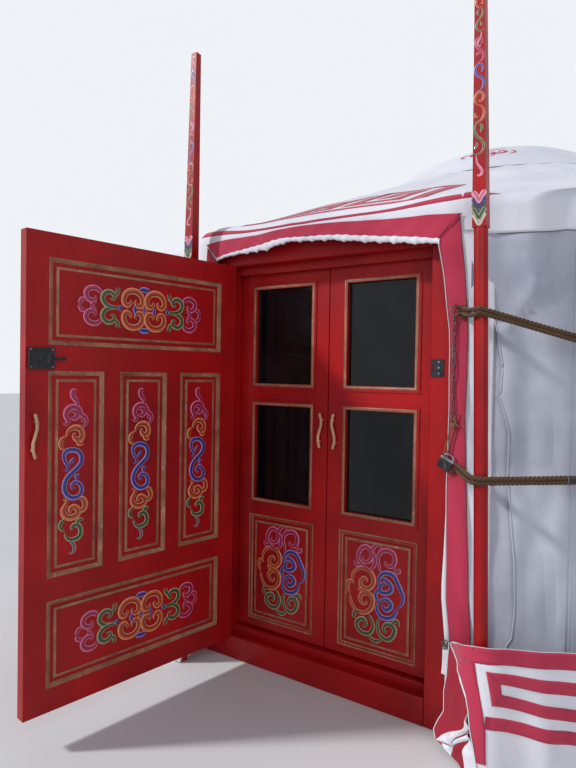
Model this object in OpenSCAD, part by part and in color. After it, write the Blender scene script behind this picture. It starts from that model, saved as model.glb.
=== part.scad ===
// A round yurt with a painted outer door, glazed inner doors, a lattice wall and a crown ring.
// The origin is on the ground at the middle of the yurt. The door looks along -Y.

/* [Wall] */
// Outer radius of the wall cover
wall_r = 2890; // [2600:10:3200]
// Thickness of the felt and canvas wall cover
cover_t = 40; // [20:1:60]
// Number of pieces that the wall cover is cut into
wall_pieces = 6; // [4:1:8]
// Clearance between a soft cover or a loose piece and its seat
fit = 0.3; // [0.1:0.1:1]

/* [Floor] */
// Thickness of the boarded floor
floor_t = 40; // [20:1:60]

/* [Door frame] */
// How far the frame's front face stands behind the wall cover's outermost line
door_in = 65; // [40:5:120]
// Clear width between the jambs
opening_w = 990; // [850:5:1100]
// Height of the lintel's lower edge above the ground
opening_h = 1865; // [1800:5:1900]
// Depth of the frame from front to back
frame_d = 150; // [140:1:200]
// Width of a jamb
jamb_w = 145; // [100:1:180]
// Height of the lintel
lintel_h = 95; // [60:1:100]
// Height of the front part of the sill
sill_h = 107; // [60:1:140]
// How far the sill steps up behind the outer door
sill_step = 31; // [15:1:40]
// How far back the door stops stand from the frame's face
stop_y = 50; // [48:1:60]
// Depth of the stop under the lintel
stop_d = 25; // [15:1:27]
// Height of the stop under the lintel
stop_h = 36; // [20:1:45]
// Width of the chamfer on the frame's edges
frame_chamfer = 5; // [2:1:10]

/* [Outer door] */
// Thickness of the outer door
leaf_t = 45; // [38:1:46]
// Gap between the outer door and its frame
leaf_gap = 5; // [5:1:8]
// Angle by which the outer door stands open
door_open = 99; // [90:1:105]
// Width of the stile at the hinges
hinge_stile = 90; // [70:1:110]
// Width of the stile at the free edge
free_stile = 83; // [60:1:110]
// Width of the two stiles between the upright panels
mid_stile = 71; // [50:1:90]
// Heights of the four rails, from the lowest up
rail_low = 88; // [70:1:110]
rail_mid = 85; // [70:1:110]
rail_high = 95; // [70:1:110]
rail_top = 90; // [60:1:110]
// Height of the lowest panel
panel_low_h = 320; // [280:5:340]
// Height of the top panel
panel_top_h = 315; // [280:5:330]
// Depth to which the panels lie behind the door's faces
panel_recess = 9; // [8:1:12]
// Width of the moulding round a panel
moulding_w = 12; // [8:1:16]
// Width of the sunk band between the moulding and the raised field
field_band = 16; // [10:1:24]
// Height of the raised field over the sunk panel
field_h = 4; // [2:1:5]
// Width of the bead round the raised field
field_bead = 8; // [5:1:12]
// How far that bead stands over the field
bead_over = 2; // [1:1:3]

/* [Bolt] */
// Width, height and thickness of the bolt case on the outer door
case_w = 92; // [80:1:100]
case_h = 76; // [60:1:90]
case_t = 18; // [14:1:19]
// Distance of the case from the door's free edge
case_edge = 6; // [4:1:15]
// Height of the middle of the case above the ground
case_z = 1405; // [1300:5:1450]
// Side of the square bolt
bolt_s = 10; // [8:1:12]
// How far the bolt slides
bolt_travel = 22; // [15:1:24]

/* [Handles] */
// Length of the outer door's handle and the height of its lower end
handle_l = 150; // [120:5:200]
handle_z = 1053; // [900:1:1150]
// Length of an inner door's handle and the height of its lower end
inner_handle_l = 145; // [120:5:200]
inner_handle_z = 1040; // [900:1:1150]
// Radius of a handle, its wave to each side and its distance from the door
handle_r = 6; // [5:0.5:8]
handle_wave = 8; // [4:1:12]
handle_out = 16; // [14:1:20]
inner_handle_out = 14; // [12:1:16]

/* [Inner doors] */
// Distance from the frame's face to the face of the inner doors
inner_y = 80; // [80:1:84]
// Thickness of the inner doors
inner_t = 40; // [34:1:44]
// Gap between the inner doors, and between them and their frame
inner_gap = 5; // [5:1:7]
// Width of the stile at the middle
meeting_stile = 64; // [50:1:80]
// Width of the stile at the hinges
outer_stile = 62; // [50:1:80]
// Height of the bottom rail
inner_rail_low = 37; // [30:1:60]
// Height of the two rails between the panes and the panel
inner_rail_mid = 55; // [40:1:70]
// Height of the top rail
inner_rail_top = 70; // [50:1:90]
// Height of the framed panel below the panes
inner_panel_h = 505; // [450:5:520]
// Width of the bead round a pane
bead_w = 24; // [16:1:30]
// How far the beads stand proud of the door
bead_t = 4; // [2:1:5]
// Thickness of the glass
glass_t = 4; // [3:1:6]

/* [Hinges] */
// Radius of a hinge knuckle
knuckle_r = 7; // [6:0.5:8]
// Radius of a hinge pin
pin_r = 4; // [3:0.5:5]
// Radial clearance between the pin and its knuckle
pin_clear = 0.08; // [0.02:0.01:0.1]
// Height of a knuckle
knuckle_h = 45; // [35:1:60]

/* [Lattice wall] */
// Number of flat bays round the wall
lattice_bays = 40; // [30:5:50]
// Number of sections that the lattice is made in
lattice_sections = 5; // [5:5:10]
// Number of crossings up the height of a bay
lattice_rows = 4; // [3:1:5]
// Width and thickness of a lath
lath_w = 34; // [24:1:44]
lath_t = 14; // [10:1:18]

/* [Roof] */
// Height of the roof cover's outer corner above the door frame, before it is rounded
eave_over = 67; // [60:1:100]
// Radius of the rounding at the eave
eave_round = 60; // [40:1:80]
// Thickness of the roof cover's edge that hangs down outside the wall
hem_t = 12; // [8:1:20]
// How far that edge hangs down below the rounding
hem_h = 100; // [60:5:140]
// Height above the door frame at which the hanging edge is cut out over the door
hem_cut = 20; // [15:1:25]
// Thickness of the roof cover
roof_t = 35; // [20:1:50]
// Radius of the crown cover
crown_r = 1080; // [1000:10:1200]
// Rise of the roof cover from the eave to the crown cover's edge
roof_rise = 703; // [620:1:760]
// Rise from the crown cover's edge to the top of the yurt
crown_rise = 420; // [380:10:460]
// Radius at which the crown cover's flare meets its dome
dome_r = 780; // [770:5:850]
// Rise of that dome
dome_h = 233; // [200:1:260]
// Thickness of the crown cover
crown_t = 30; // [20:1:40]
// Thickness of the crown cover at its edge
crown_edge_t = 6; // [3:1:10]
// Outer radius, width and height of the crown ring
ring_r = 760; // [650:5:800]
ring_w = 70; // [50:1:90]
ring_h = 72; // [50:1:90]
// Radius of a roof pole
pole_r = 16; // [12:1:20]
// Number of roof poles that stand on the lintel
lintel_poles = 3; // [1:2:5]
// Side of a crown post
post_s = 80; // [60:1:100]
// Radius and height of the crown's hub, and how high it stands over the ring
hub_r = 95; // [70:5:120]
hub_h = 50; // [30:5:70]
hub_over = 70; // [40:5:90]
// Number and radius of the crown's spokes
spokes = 8; // [4:1:12]
spoke_r = 20; // [14:1:26]

/* [Painted poles] */
// Diameter of the round part of a painted pole
painted_d = 48; // [40:1:60]
// Length of a painted pole
painted_l = 2870; // [2700:10:3000]
// Height at which the square part of a painted pole starts
square_z = 1880; // [1700:10:2100]
// Side of a painted pole at its tip
tip_s = 32; // [24:1:40]
// Distance of a painted pole's foot and top in front of the frame's face
foot_out = 150; // [120:5:200]
top_out = 100; // [80:5:200]
// Distance of each painted pole's foot and tip from the middle of the door
left_foot_x = 645; // [640:5:700]
left_tip_x = 650; // [640:5:700]
right_foot_x = 765; // [640:5:800]
right_tip_x = 690; // [640:5:800]

/* [Ropes and skirt] */
// Diameter of a girth rope
rope_d = 26; // [16:1:30]
// Height of the upper rope at the painted poles and round the wall
rope_high_door = 1585; // [1500:5:1650]
rope_high_wall = 1330; // [1250:5:1500]
// Height of the lower rope at the painted poles and round the wall
rope_low_door = 1010; // [950:5:1100]
rope_low_wall = 1040; // [950:5:1100]
// Height of the skirt
skirt_h = 430; // [350:5:480]
// Thickness of the skirt
skirt_t = 12; // [8:1:20]
// How far the skirt runs on from the foot of each painted pole towards the door
left_reach = 45; // [40:5:60]
right_reach = 85; // [60:5:110]
// Clearance between the skirt and the foot of a painted pole
skirt_gap = 6; // [2:1:10]
// Width and thickness of the border flap over the frame
flap_w = 120; // [100:1:140]
flap_t = 24; // [15:1:30]
// Height of the flap's curved band over the door
flap_band_h = 80; // [60:1:100]
// Height of the flap's lower ends above the ground
flap_foot = 30; // [10:1:60]

/* [Hidden] */
$fn = 48;

red = [0.55, 0.08, 0.09];
bronze = [0.62, 0.44, 0.33];
iron = [0.12, 0.12, 0.14];
raw_wood = [0.74, 0.58, 0.44];
felt = [0.88, 0.88, 0.90];
crimson = [0.75, 0.22, 0.34];
rope_colour = [0.28, 0.20, 0.14];

// Door frame and the doors' own sizes
door_y = wall_r - door_in;
half_open = opening_w / 2;
half_frame = half_open + jamb_w;
frame_top = opening_h + lintel_h;
step_z = sill_h + sill_step;
leaf_w = opening_w - 2 * leaf_gap;
leaf_z = sill_h + leaf_gap;
leaf_h = opening_h - leaf_gap - leaf_z;
panel_u0 = hinge_stile;
panel_u1 = leaf_w - free_stile;
mid_w = (panel_u1 - panel_u0 - 2 * mid_stile) / 3;
mid_z = rail_low + panel_low_h + rail_mid;
panel_mid_h = leaf_h - mid_z - rail_high - panel_top_h - rail_top;
top_z = mid_z + panel_mid_h + rail_high;
leaf_panels = concat(
    [[panel_u0, rail_low, panel_u1 - panel_u0, panel_low_h]],
    [for (i = [0:2]) [panel_u0 + i * (mid_w + mid_stile), mid_z, mid_w, panel_mid_h]],
    [[panel_u0, top_z, panel_u1 - panel_u0, panel_top_h]]);
hinge_side = 4;
hinge_front = 3;
hinge_x = -half_open - hinge_side;
hinge_y = -door_y - knuckle_r - hinge_front;
hinge_plate = 30;
leaf_plate = 40;
hinge_end = 160;
inner_hinge_end = 180;
handle_edge = 30;
bolt_u = leaf_w - case_edge;
inner_x0 = inner_gap / 2;
inner_w = half_open - inner_gap - inner_x0;
inner_lift = 2;
inner_z = step_z + inner_gap + inner_lift;
inner_h = opening_h - 2 * inner_gap - inner_z;
pane_w = inner_w - meeting_stile - outer_stile;
panel_z = inner_rail_low;
pane_h = (inner_h - inner_rail_low - inner_panel_h - 2 * inner_rail_mid - inner_rail_top) / 2;
pane_z = [panel_z + inner_panel_h + inner_rail_mid,
    panel_z + inner_panel_h + 2 * inner_rail_mid + pane_h];
inner_hinge_x = half_open - knuckle_r - 0.5;
inner_hinge_y = -door_y + inner_y + inner_t + knuckle_r + 1;
outer_hinges = [leaf_z + hinge_end, leaf_z + leaf_h / 2, leaf_z + leaf_h - hinge_end];
inner_hinges = [inner_z + inner_hinge_end, inner_z + inner_h - inner_hinge_end];

// Wall and roof
cover_in = wall_r - cover_t;
eave_h = frame_top + eave_over;
crown_edge_h = eave_h + roof_rise;
top_h = crown_edge_h + crown_rise;
door_phi = asin((half_frame + fit) / cover_in);
hem_r = wall_r + hem_t;
roof_slope = roof_rise / (hem_r - crown_r);
slope_l = sqrt(1 + roof_slope * roof_slope);
roof_drop = roof_t * slope_l;
function roof_z(r) = eave_h + (hem_r - r) * roof_slope;
function under_z(r) = roof_z(r) - roof_drop;
round_r = hem_r - eave_round;
round_z = roof_z(round_r) - eave_round * slope_l;
round_steps = 6;
hem_z = round_z - hem_h;
door_hem_z = frame_top + hem_cut;
wall_top = under_z(wall_r) - fit;
cover_angle = 360 - 2 * door_phi;
lattice_r = cover_in - fit;
lattice_side = 3;
lath_room = 4;
lath_bite = 1;
lattice_phi = asin((half_frame + lattice_side) / (lattice_r - 2 * lath_t - lath_room));
lattice_bay_a = (360 - 2 * lattice_phi) / lattice_bays;
lattice_out = lattice_r * cos(lattice_bay_a / 2);
lattice_foot = floor_t + fit;
pole_drop = (pole_r + fit) * slope_l;
pole_out_r = lattice_out - lath_t;
lattice_top = under_z(pole_out_r) - 2 * pole_drop;
ring_top = under_z(ring_r) - fit;
rope_r = wall_r + rope_d / 2 + fit;
rope_y = -door_y - flap_t - rope_d / 2 - 2 * fit;
tie_gap = 3;
flap_side = 75;
flap_in = half_open + flap_side;
flap_out = flap_in + flap_w;
flap_top = door_hem_z - fit;
flap_phi = asin((flap_in + flap_w / 4) / hem_r);
rope_drop = 20;
chain_side = 42;
chain_front = 12;
chain_x = flap_in + chain_side;
chain_y = -door_y - flap_t - chain_front;
chain_top = rope_high_door + rope_drop;
chain_ring_r = 13;
chain_bar_r = 3;
chain_links = 16;
link_l = 34;
link_w = 22;
link_r = 2.5;
link_gap = 0.4;
link_pitch = link_l - 4 * link_r - link_gap;
first_link_z = chain_top - chain_ring_r + chain_bar_r + link_gap + 2 * link_r - link_l / 2;
loop_l = 140;
loop_z = first_link_z - (chain_links - 1) * link_pitch - link_l / 2 + 4 * link_r + link_gap - loop_l / 2;
lock_w = 48;
lock_h = 50;
lock_t = 18;
shackle_w = 30;
shackle_r = 3.5;
left_foot = [left_foot_x, -door_y - foot_out];
left_tip = [left_tip_x, -door_y - top_out];
right_foot = [right_foot_x, -door_y - foot_out];
right_tip = [right_tip_x, -door_y - top_out];

// Helpers
// Straight round rod between two points
module rod(a, b, r, sides = 16) {
    d = b - a;
    l = norm(d);
    translate(a) rotate([0, acos(d.z / l), atan2(d.y, d.x)]) cylinder(r = r, h = l, $fn = sides);
}

// Rods along a list of points, with a slightly larger ball at each bend
module run(points, r, sides = 16) {
    for (i = [0:len(points) - 2]) rod(points[i], points[i + 1], r, sides);
    for (i = [1:len(points) - 2]) translate(points[i]) sphere(r = r * 1.02, $fn = 24);
}

// Turns its child to the angle phi, counted from the door towards +X
module at_angle(phi) {
    rotate([0, 0, phi - 90]) children();
}

// Swings its child, drawn in the shut pose, to the open pose of the outer door
module swung() {
    translate([hinge_x, hinge_y, 0]) rotate([0, 0, -door_open]) translate([-hinge_x, -hinge_y, 0]) children();
}

// Flat rectangular frame in the XZ plane, from y = 0 to y = t
module border(w, h, band, t) {
    difference() {
        cube([w, t, h]);
        translate([band, -1, band]) cube([w - 2 * band, t + 2, h - 2 * band]);
    }
}

// Post with its four upright edges chamfered
module post(w, d, h, c) {
    linear_extrude(h)
        polygon([[c, 0], [w - c, 0], [w, c], [w, d - c], [w - c, d], [c, d], [0, d - c], [0, c]]);
}

// Floor
module floor_disc() {
    color("burlywood") difference() {
        cylinder(r = cover_in - fit, h = floor_t, $fn = 240);
        translate([-half_frame - fit, -wall_r, -1])
            cube([2 * (half_frame + fit), wall_r - door_y + frame_d + fit, floor_t + 2]);
    }
}

// Door frame
module sill() {
    color(red) translate([-half_open, -door_y, 0]) rotate([90, 0, 90]) linear_extrude(opening_w)
        polygon([[0, 0], [frame_d, 0], [frame_d, step_z], [stop_y + 4, step_z], [stop_y, step_z - 4],
            [stop_y, sill_h], [frame_chamfer, sill_h], [0, sill_h - frame_chamfer]]);
}

module jamb() {
    translate([half_open, -door_y, 0]) post(jamb_w, frame_d, frame_top, frame_chamfer);
}

module left_jamb() {
    color(red) mirror([1, 0, 0]) jamb();
}

module right_jamb() {
    hole_gap = 6;
    hole = bolt_s + 2 * hole_gap;
    color(red) difference() {
        jamb();
        translate([half_open - 1, -door_y + leaf_t + (case_t - hole) / 2, case_z - hole / 2])
            cube([bolt_travel + hole_gap + 2, hole, hole]);
    }
}

module lintel() {
    color(red) translate([-half_open, -door_y, opening_h]) {
        rotate([90, 0, 90]) linear_extrude(opening_w)
            polygon([[frame_chamfer, 0], [stop_y, 0], [stop_y, -stop_h], [stop_y + stop_d, -stop_h],
                [stop_y + stop_d, 0], [frame_d, 0], [frame_d, lintel_h], [0, lintel_h], [0, frame_chamfer]]);
    }
}

module keeper_plate() {
    keeper_w = 52;
    keeper_h = 68;
    keeper_t = 3;
    keeper_side = 6;
    keeper_drop = 10;
    slit_w = 5;
    screw_r = 3;
    screw_end = 12;
    color(iron) translate([half_open + keeper_side, -door_y - keeper_t, case_z - keeper_drop - keeper_h / 2])
        difference() {
            cube([keeper_w, keeper_t, keeper_h]);
            translate([keeper_side, -1, keeper_h * 0.3]) cube([slit_w, keeper_t + 2, keeper_h * 0.4]);
            for (z = [screw_end, keeper_h - screw_end])
                translate([keeper_w * 0.62, keeper_t + 1, z]) rotate([90, 0, 0])
                    cylinder(r = screw_r, h = keeper_t + 2);
        }
}

// One hinge: the lower knuckle with its pin on the frame, and the bored upper knuckle on the door.
// reach is how far the plates run back from the barrel to what they are screwed to.
module frame_knuckle(x, y, z, plate, depth) {
    translate([x, y, z - knuckle_h]) cylinder(r = knuckle_r, h = knuckle_h - 0.5);
    translate([x, y, z - knuckle_h]) cylinder(r = pin_r, h = 2 * knuckle_h - 4);
    translate([min(x, x + plate), min(y, y + depth), z - knuckle_h])
        cube([abs(plate), abs(depth), knuckle_h - 0.5]);
}

module door_knuckle(x, y, z, plate, depth) {
    difference() {
        union() {
            translate([x, y, z]) cylinder(r = knuckle_r, h = knuckle_h);
            translate([min(x, x + plate), min(y, y + depth), z]) cube([abs(plate), abs(depth), knuckle_h]);
        }
        translate([x, y, z - 1]) cylinder(r = pin_r + pin_clear, h = knuckle_h + 2);
    }
}

module hinge_pins() {
    color(iron) {
        for (z = outer_hinges) frame_knuckle(hinge_x, hinge_y, z, -hinge_plate, -door_y - hinge_y);
        for (z = inner_hinges, s = [-1, 1])
            frame_knuckle(s * inner_hinge_x, inner_hinge_y, z, s * (half_open - inner_hinge_x),
                2.5 * knuckle_r);
    }
}

// Outer door, drawn shut
module leaf_blank() {
    difference() {
        cube([leaf_w, leaf_t, leaf_h]);
        for (p = leaf_panels, y = [-1, leaf_t - panel_recess])
            translate([p[0], y, p[1]]) cube([p[2], panel_recess + 1, p[3]]);
    }
    inset = moulding_w + field_band + field_bead;
    for (p = leaf_panels, y = [panel_recess - field_h, leaf_t - panel_recess])
        translate([p[0] + inset, y, p[1] + inset]) cube([p[2] - 2 * inset, field_h, p[3] - 2 * inset]);
}

module outer_door() {
    color(red) swung() {
        translate([-half_open + leaf_gap, -door_y, leaf_z]) leaf_blank();
        for (z = outer_hinges) door_knuckle(hinge_x, hinge_y, z, leaf_plate, -door_y - hinge_y);
    }
}

// A moulding along each panel's edge, and a lower bead round its raised field, on both faces
module outer_door_mouldings() {
    inset = moulding_w + field_band;
    bead_h = field_h + bead_over;
    color(bronze) swung() translate([-half_open + leaf_gap, -door_y, leaf_z])
        for (p = leaf_panels) {
            for (y = [0, leaf_t - panel_recess])
                translate([p[0], y, p[1]]) border(p[2], p[3], moulding_w, panel_recess);
            for (y = [panel_recess - bead_h, leaf_t - panel_recess])
                translate([p[0] + inset, y, p[1] + inset])
                    border(p[2] - 2 * inset, p[3] - 2 * inset, field_bead, bead_h);
        }
}

module bolt_case() {
    slot = bolt_s + 1;
    color(iron) swung()
        translate([-half_open + leaf_gap + bolt_u - case_w, -door_y + leaf_t, case_z - case_h / 2])
            difference() {
                cube([case_w, case_t, case_h]);
                translate([-1, (case_t - slot) / 2, (case_h - slot) / 2]) cube([case_w + 2, slot, slot]);
            }
}

module bolt() {
    bolt_l = 1.5 * case_w;
    color(iron) swung() translate([-half_open + leaf_gap + bolt_u - bolt_l,
        -door_y + leaf_t + (case_t - bolt_s) / 2, case_z - bolt_s / 2]) cube([bolt_l, bolt_s, bolt_s]);
}

// Carved handle: an S-shaped stick on two pegs
module handle(h, stand) {
    points = [for (i = [0:6]) [handle_wave * sin(i * 60), -stand, h * i / 6]];
    run(points, handle_r);
    for (i = [0, 6]) translate(points[i]) sphere(r = handle_r * 1.05, $fn = 24);
    for (i = [1, 5]) rod([points[i].x, 0, points[i].z], points[i], handle_r * 0.8);
}

module outer_door_handle() {
    color(raw_wood) swung()
        translate([-half_open + leaf_gap + leaf_w - handle_edge, -door_y + leaf_t, handle_z])
            mirror([0, 1, 0]) handle(handle_l, handle_out);
}

// Inner doors, drawn on the +X side
module inner_door_blank() {
    difference() {
        translate([inner_x0, 0, 0]) cube([inner_w, inner_t, inner_h]);
        for (z = pane_z) {
            translate([inner_x0 + meeting_stile + bead_w, -1, z + bead_w])
                cube([pane_w - 2 * bead_w, inner_t + 2, pane_h - 2 * bead_w]);
            translate([inner_x0 + meeting_stile + bead_w / 2, (inner_t - glass_t) / 2 - fit, z + bead_w / 2])
                cube([pane_w - bead_w, glass_t + 2 * fit, pane_h - bead_w]);
        }
        translate([inner_x0 + meeting_stile, -1, panel_z]) cube([pane_w, panel_recess + 1, inner_panel_h]);
    }
    for (z = pane_z) translate([inner_x0 + meeting_stile, -bead_t, z]) border(pane_w, pane_h, bead_w, bead_t);
    translate([inner_x0 + meeting_stile, 0, panel_z]) border(pane_w, inner_panel_h, moulding_w, panel_recess);
    inset = moulding_w + field_band;
    translate([inner_x0 + meeting_stile + inset, panel_recess - field_h, panel_z + inset])
        cube([pane_w - 2 * inset, field_h, inner_panel_h - 2 * inset]);
}

module inner_door() {
    translate([0, -door_y + inner_y, inner_z]) inner_door_blank();
    for (z = inner_hinges) door_knuckle(inner_hinge_x, inner_hinge_y, z, -leaf_plate, -knuckle_r - 1);
}

module inner_glass() {
    for (z = pane_z)
        translate([inner_x0 + meeting_stile + bead_w / 2 + fit,
            -door_y + inner_y + (inner_t - glass_t) / 2, inner_z + z + bead_w / 2 + fit])
            cube([pane_w - bead_w - 2 * fit, glass_t, pane_h - bead_w - 2 * fit]);
}

module inner_handle() {
    translate([inner_x0 + meeting_stile / 2, -door_y + inner_y, inner_handle_z])
        handle(inner_handle_l, inner_handle_out);
}

module inner_left_door() {
    color(red) mirror([1, 0, 0]) inner_door();
}

module inner_right_door() {
    color(red) inner_door();
}

module inner_left_glass() {
    color("darkslategray", 0.6) mirror([1, 0, 0]) inner_glass();
}

module inner_right_glass() {
    color("darkslategray", 0.6) inner_glass();
}

module inner_left_handle() {
    color(raw_wood) mirror([1, 0, 0]) inner_handle();
}

module inner_right_handle() {
    color(raw_wood) inner_handle();
}

// Lattice wall: flat bays, each with two layers of parallel laths that cross and are pegged together
module laths(w, dir) {
    rise = (lattice_top - lattice_foot - lath_v()) / lattice_rows;
    half = lath_v() / 2;
    for (k = [0:lattice_rows - 1]) {
        z = lattice_foot + half + k * rise;
        a = dir > 0 ? z : z + rise;
        b = dir > 0 ? z + rise : z;
        polygon([[-w / 2, a - half], [w / 2, b - half], [w / 2, b + half], [-w / 2, a + half]]);
    }
}

function bay_w(r) = 2 * r * tan(lattice_bay_a / 2);
function lath_v() = lath_w / cos(atan((lattice_top - lattice_foot) / lattice_rows / bay_w(lattice_out)));

module lattice_bay() {
    for (layer = [0, 1])
        translate([lattice_out - (layer + 1) * lath_t - (1 - layer) * lath_bite, 0, 0]) rotate([90, 0, 90])
            linear_extrude(lath_t + lath_bite) laths(bay_w(lattice_out) + 2 * lath_bite, 1 - 2 * layer);
}

// The ends of a section are trimmed on radial planes, so that neighbours meet with a small gap
module lattice_section(n) {
    bays = lattice_bays / lattice_sections;
    start = lattice_phi + lattice_bay_a * n * bays;
    trim = asin(fit / lattice_r);
    color("chocolate") intersection() {
        for (i = [0:bays - 1]) at_angle(start + lattice_bay_a * (i + 0.5)) lattice_bay();
        at_angle(start + trim) rotate_extrude(angle = lattice_bay_a * bays - 2 * trim, $fn = 240)
            translate([lattice_out - 3 * lath_t, 0]) square([5 * lath_t, wall_top]);
    }
}

// Wall cover
module wall_cover(n) {
    color(felt) at_angle(door_phi + n * cover_angle / wall_pieces)
        rotate_extrude(angle = cover_angle / wall_pieces, $fn = 96)
            translate([cover_in, 0]) square([cover_t, wall_top]);
}

// Roof
// foot_z is the height of what the pole's foot rests on
module roof_pole(phi, foot_z) {
    r0 = pole_out_r;
    r1 = ring_r + pole_r * roof_slope + fit;
    at_angle(phi) rod([r0, 0, foot_z + pole_drop], [r1, 0, under_z(r1) - pole_drop], pole_r, 8);
}

module roof_poles() {
    color("chocolate") {
        for (i = [0:lattice_bays]) roof_pole(lattice_phi + i * lattice_bay_a, lattice_top);
        for (i = [1:lintel_poles]) roof_pole(lattice_phi * (2 * i / (lintel_poles + 1) - 1), frame_top);
    }
}

module crown_ring() {
    color("chocolate") rotate_extrude($fn = 96)
        translate([ring_r - ring_w, ring_top - ring_h]) square([ring_w, ring_h]);
}

module crown_spokes() {
    hub_z = ring_top + hub_over;
    inner = ring_r - ring_w;
    color("chocolate") {
        translate([0, 0, hub_z]) cylinder(r = hub_r, h = hub_h);
        difference() {
            for (i = [0:spokes - 1]) rotate([0, 0, (i + 0.5) * 360 / spokes])
                rod([0, 0, hub_z + hub_h / 2], [inner, 0, ring_top - ring_h / 2], spoke_r, 4);
            difference() {
                cylinder(r = 2 * ring_r, h = top_h);
                translate([0, 0, -1]) cylinder(r = inner - fit, h = top_h + 2, $fn = 96);
            }
        }
    }
}

module crown_post(side) {
    x = side * (ring_r - ring_w / 2);
    color("chocolate") translate([x - post_s / 2, -post_s / 2, floor_t])
        post(post_s, post_s, ring_top - ring_h - floor_t - fit, 10);
}

// Roof cover: a cone with a rounded eave and an edge that hangs down outside the wall. The edge is cut out
// over the door.
module roof_cover(n) {
    r1 = ring_r - ring_w / 2;
    r2 = wall_r + fit;
    arc = [for (i = [0:round_steps]) let (a = i * (90 - atan(roof_slope)) / round_steps)
        [round_r + eave_round * cos(a), round_z + eave_round * sin(a)]];
    color(felt) difference() {
        at_angle(n * 90 - 45) rotate_extrude(angle = 90, $fn = 240)
            polygon(concat([[hem_r, hem_z]], arc,
                [[r1, roof_z(r1)], [r1, under_z(r1)], [r2, under_z(r2)], [r2, hem_z]]));
        if (n == 0) translate([-flap_out - fit, -hem_r - 1, hem_z - 1])
            cube([2 * (flap_out + fit), hem_r + 1 - door_y + frame_d, door_hem_z - hem_z + 1]);
    }
}

// Height of the crown cover's outer surface: a dome in the middle, and round it a cubic flare that starts
// with the dome's slope and ends with the roof's
function dome_z(r) = top_h - dome_h * pow(r / dome_r, 2);
function flare_z(t) = (crown_edge_h + crown_edge_t) * (2 * pow(t, 3) - 3 * t * t + 1)
    + dome_z(dome_r) * (3 * t * t - 2 * pow(t, 3))
    + (crown_r - dome_r) * (roof_slope * (pow(t, 3) - 2 * t * t + t)
        + 2 * dome_h / dome_r * (pow(t, 3) - t * t));
function crown_z(r) = r > dome_r ? flare_z((crown_r - r) / (crown_r - dome_r)) : dome_z(r);

module crown_cover() {
    flare_steps = 6;
    dome_steps = 8;
    radii = concat([for (i = [0:flare_steps - 1]) crown_r - (crown_r - dome_r) * i / flare_steps],
        [for (i = [0:dome_steps]) dome_r * (1 - i / dome_steps)]);
    outer = [for (r = radii) [r, crown_z(r)]];
    inner = [for (i = [len(radii) - 1:-1:0]) let (r = radii[i], z = crown_z(r) - crown_t)
        [r, r > dome_r ? max(z, roof_z(r) + fit) : z]];
    color(felt) rotate_extrude($fn = 96) polygon(concat(outer, inner));
}

// Border flap over the outer part of the frame: a flat band on each side of the door, and over it a band
// that hangs at the roof cover's edge and follows its curve
module door_flap() {
    color(crimson) {
        for (x = [-flap_out, flap_in]) translate([x, -door_y - flap_t - fit, flap_foot])
            cube([flap_w, flap_t, flap_top - flap_foot]);
        at_angle(-flap_phi) rotate_extrude(angle = 2 * flap_phi, $fn = 240)
            translate([wall_r + fit, flap_top - flap_band_h]) square([hem_t - fit, flap_band_h - fit]);
    }
}

// Skirt: a round part against the wall cover, and at each side of the door a straight part that leaves the
// round part on a tangent, passes in front of the painted pole and turns back to the frame. Everything at
// the sides of the door is worked out on the +X side, and mirrored for the left one.
skirt_r = wall_r + fit;
skirt_out = painted_d / 2 + skirt_gap;
function skirt_knee(foot) = foot + [painted_d / 2, -skirt_out];
function skirt_start(foot) = let (k = skirt_knee(foot)) atan2(k.x, -k.y) + acos(skirt_r / norm(k));

function unit(v) = v / norm(v);
function outward(a, b) = let (d = unit(b - a)) [d.y, -d.x];
// Outer corner of a strip of thickness t that runs from a over b to c
function mitre(a, b, c, t) = let (m = outward(a, b), n = outward(b, c)) b + (m + n) * t / (1 + m * n);

module skirt_front(foot, reach) {
    start = skirt_start(foot) - fit / 4;
    touch = skirt_r * [sin(start), -cos(start)];
    knee = skirt_knee(foot);
    edge = foot + [-reach, -skirt_out];
    front = [min(edge.x, (flap_in + flap_out) / 2), -door_y - flap_t - 2 * fit];
    color(felt) linear_extrude(skirt_h) polygon([front, edge, knee, touch,
        touch + outward(knee, touch) * skirt_t, mitre(edge, knee, touch, skirt_t),
        mitre(front, edge, knee, skirt_t), front + outward(front, edge) * skirt_t]);
}

module skirt() {
    right = skirt_start(right_foot);
    color(felt) at_angle(right) rotate_extrude(angle = 360 - right - skirt_start(left_foot), $fn = 240)
        translate([skirt_r, 0]) square([skirt_t, skirt_h]);
}

module left_skirt_front() {
    mirror([1, 0, 0]) skirt_front(left_foot, left_reach);
}

module right_skirt_front() {
    skirt_front(right_foot, right_reach);
}

// Painted poles
module painted_pole(foot, tip) {
    d = [tip.x - foot.x, tip.y - foot.y, painted_l];
    l = norm(d);
    half = painted_d / 2;
    color(red) translate([foot.x, foot.y, half * sin(acos(d.z / l))])
        rotate([0, acos(d.z / l), atan2(d.y, d.x)]) rotate([0, 0, -atan2(d.y, d.x)]) {
            cylinder(r = half, h = square_z + 1);
            translate([-half, -half, square_z]) hull() {
                cube([painted_d, painted_d, 1]);
                translate([half - tip_s / 2, half - tip_s / 2, painted_l - square_z - 1])
                    cube([tip_s, tip_s, 1]);
            }
        }
}

module left_painted_pole() {
    mirror([1, 0, 0]) painted_pole(left_foot, left_tip);
}

module right_painted_pole() {
    painted_pole(right_foot, right_tip);
}

// Girth ropes: from the flap round the front of each painted pole, on a tangent to the wall and round it
wrap_r = painted_d / 2 + rope_d / 2 + fit;
wrap_steps = 3;
function pole_at(foot, tip, z) = foot + (tip - foot) * z / painted_l;

// Angle from the door at which a rope that passes in front of the pole p leaves it and meets the wall
function rope_start(p) = atan2(p.x, -p.y) + acos((rope_r - wrap_r) / norm(p));

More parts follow.
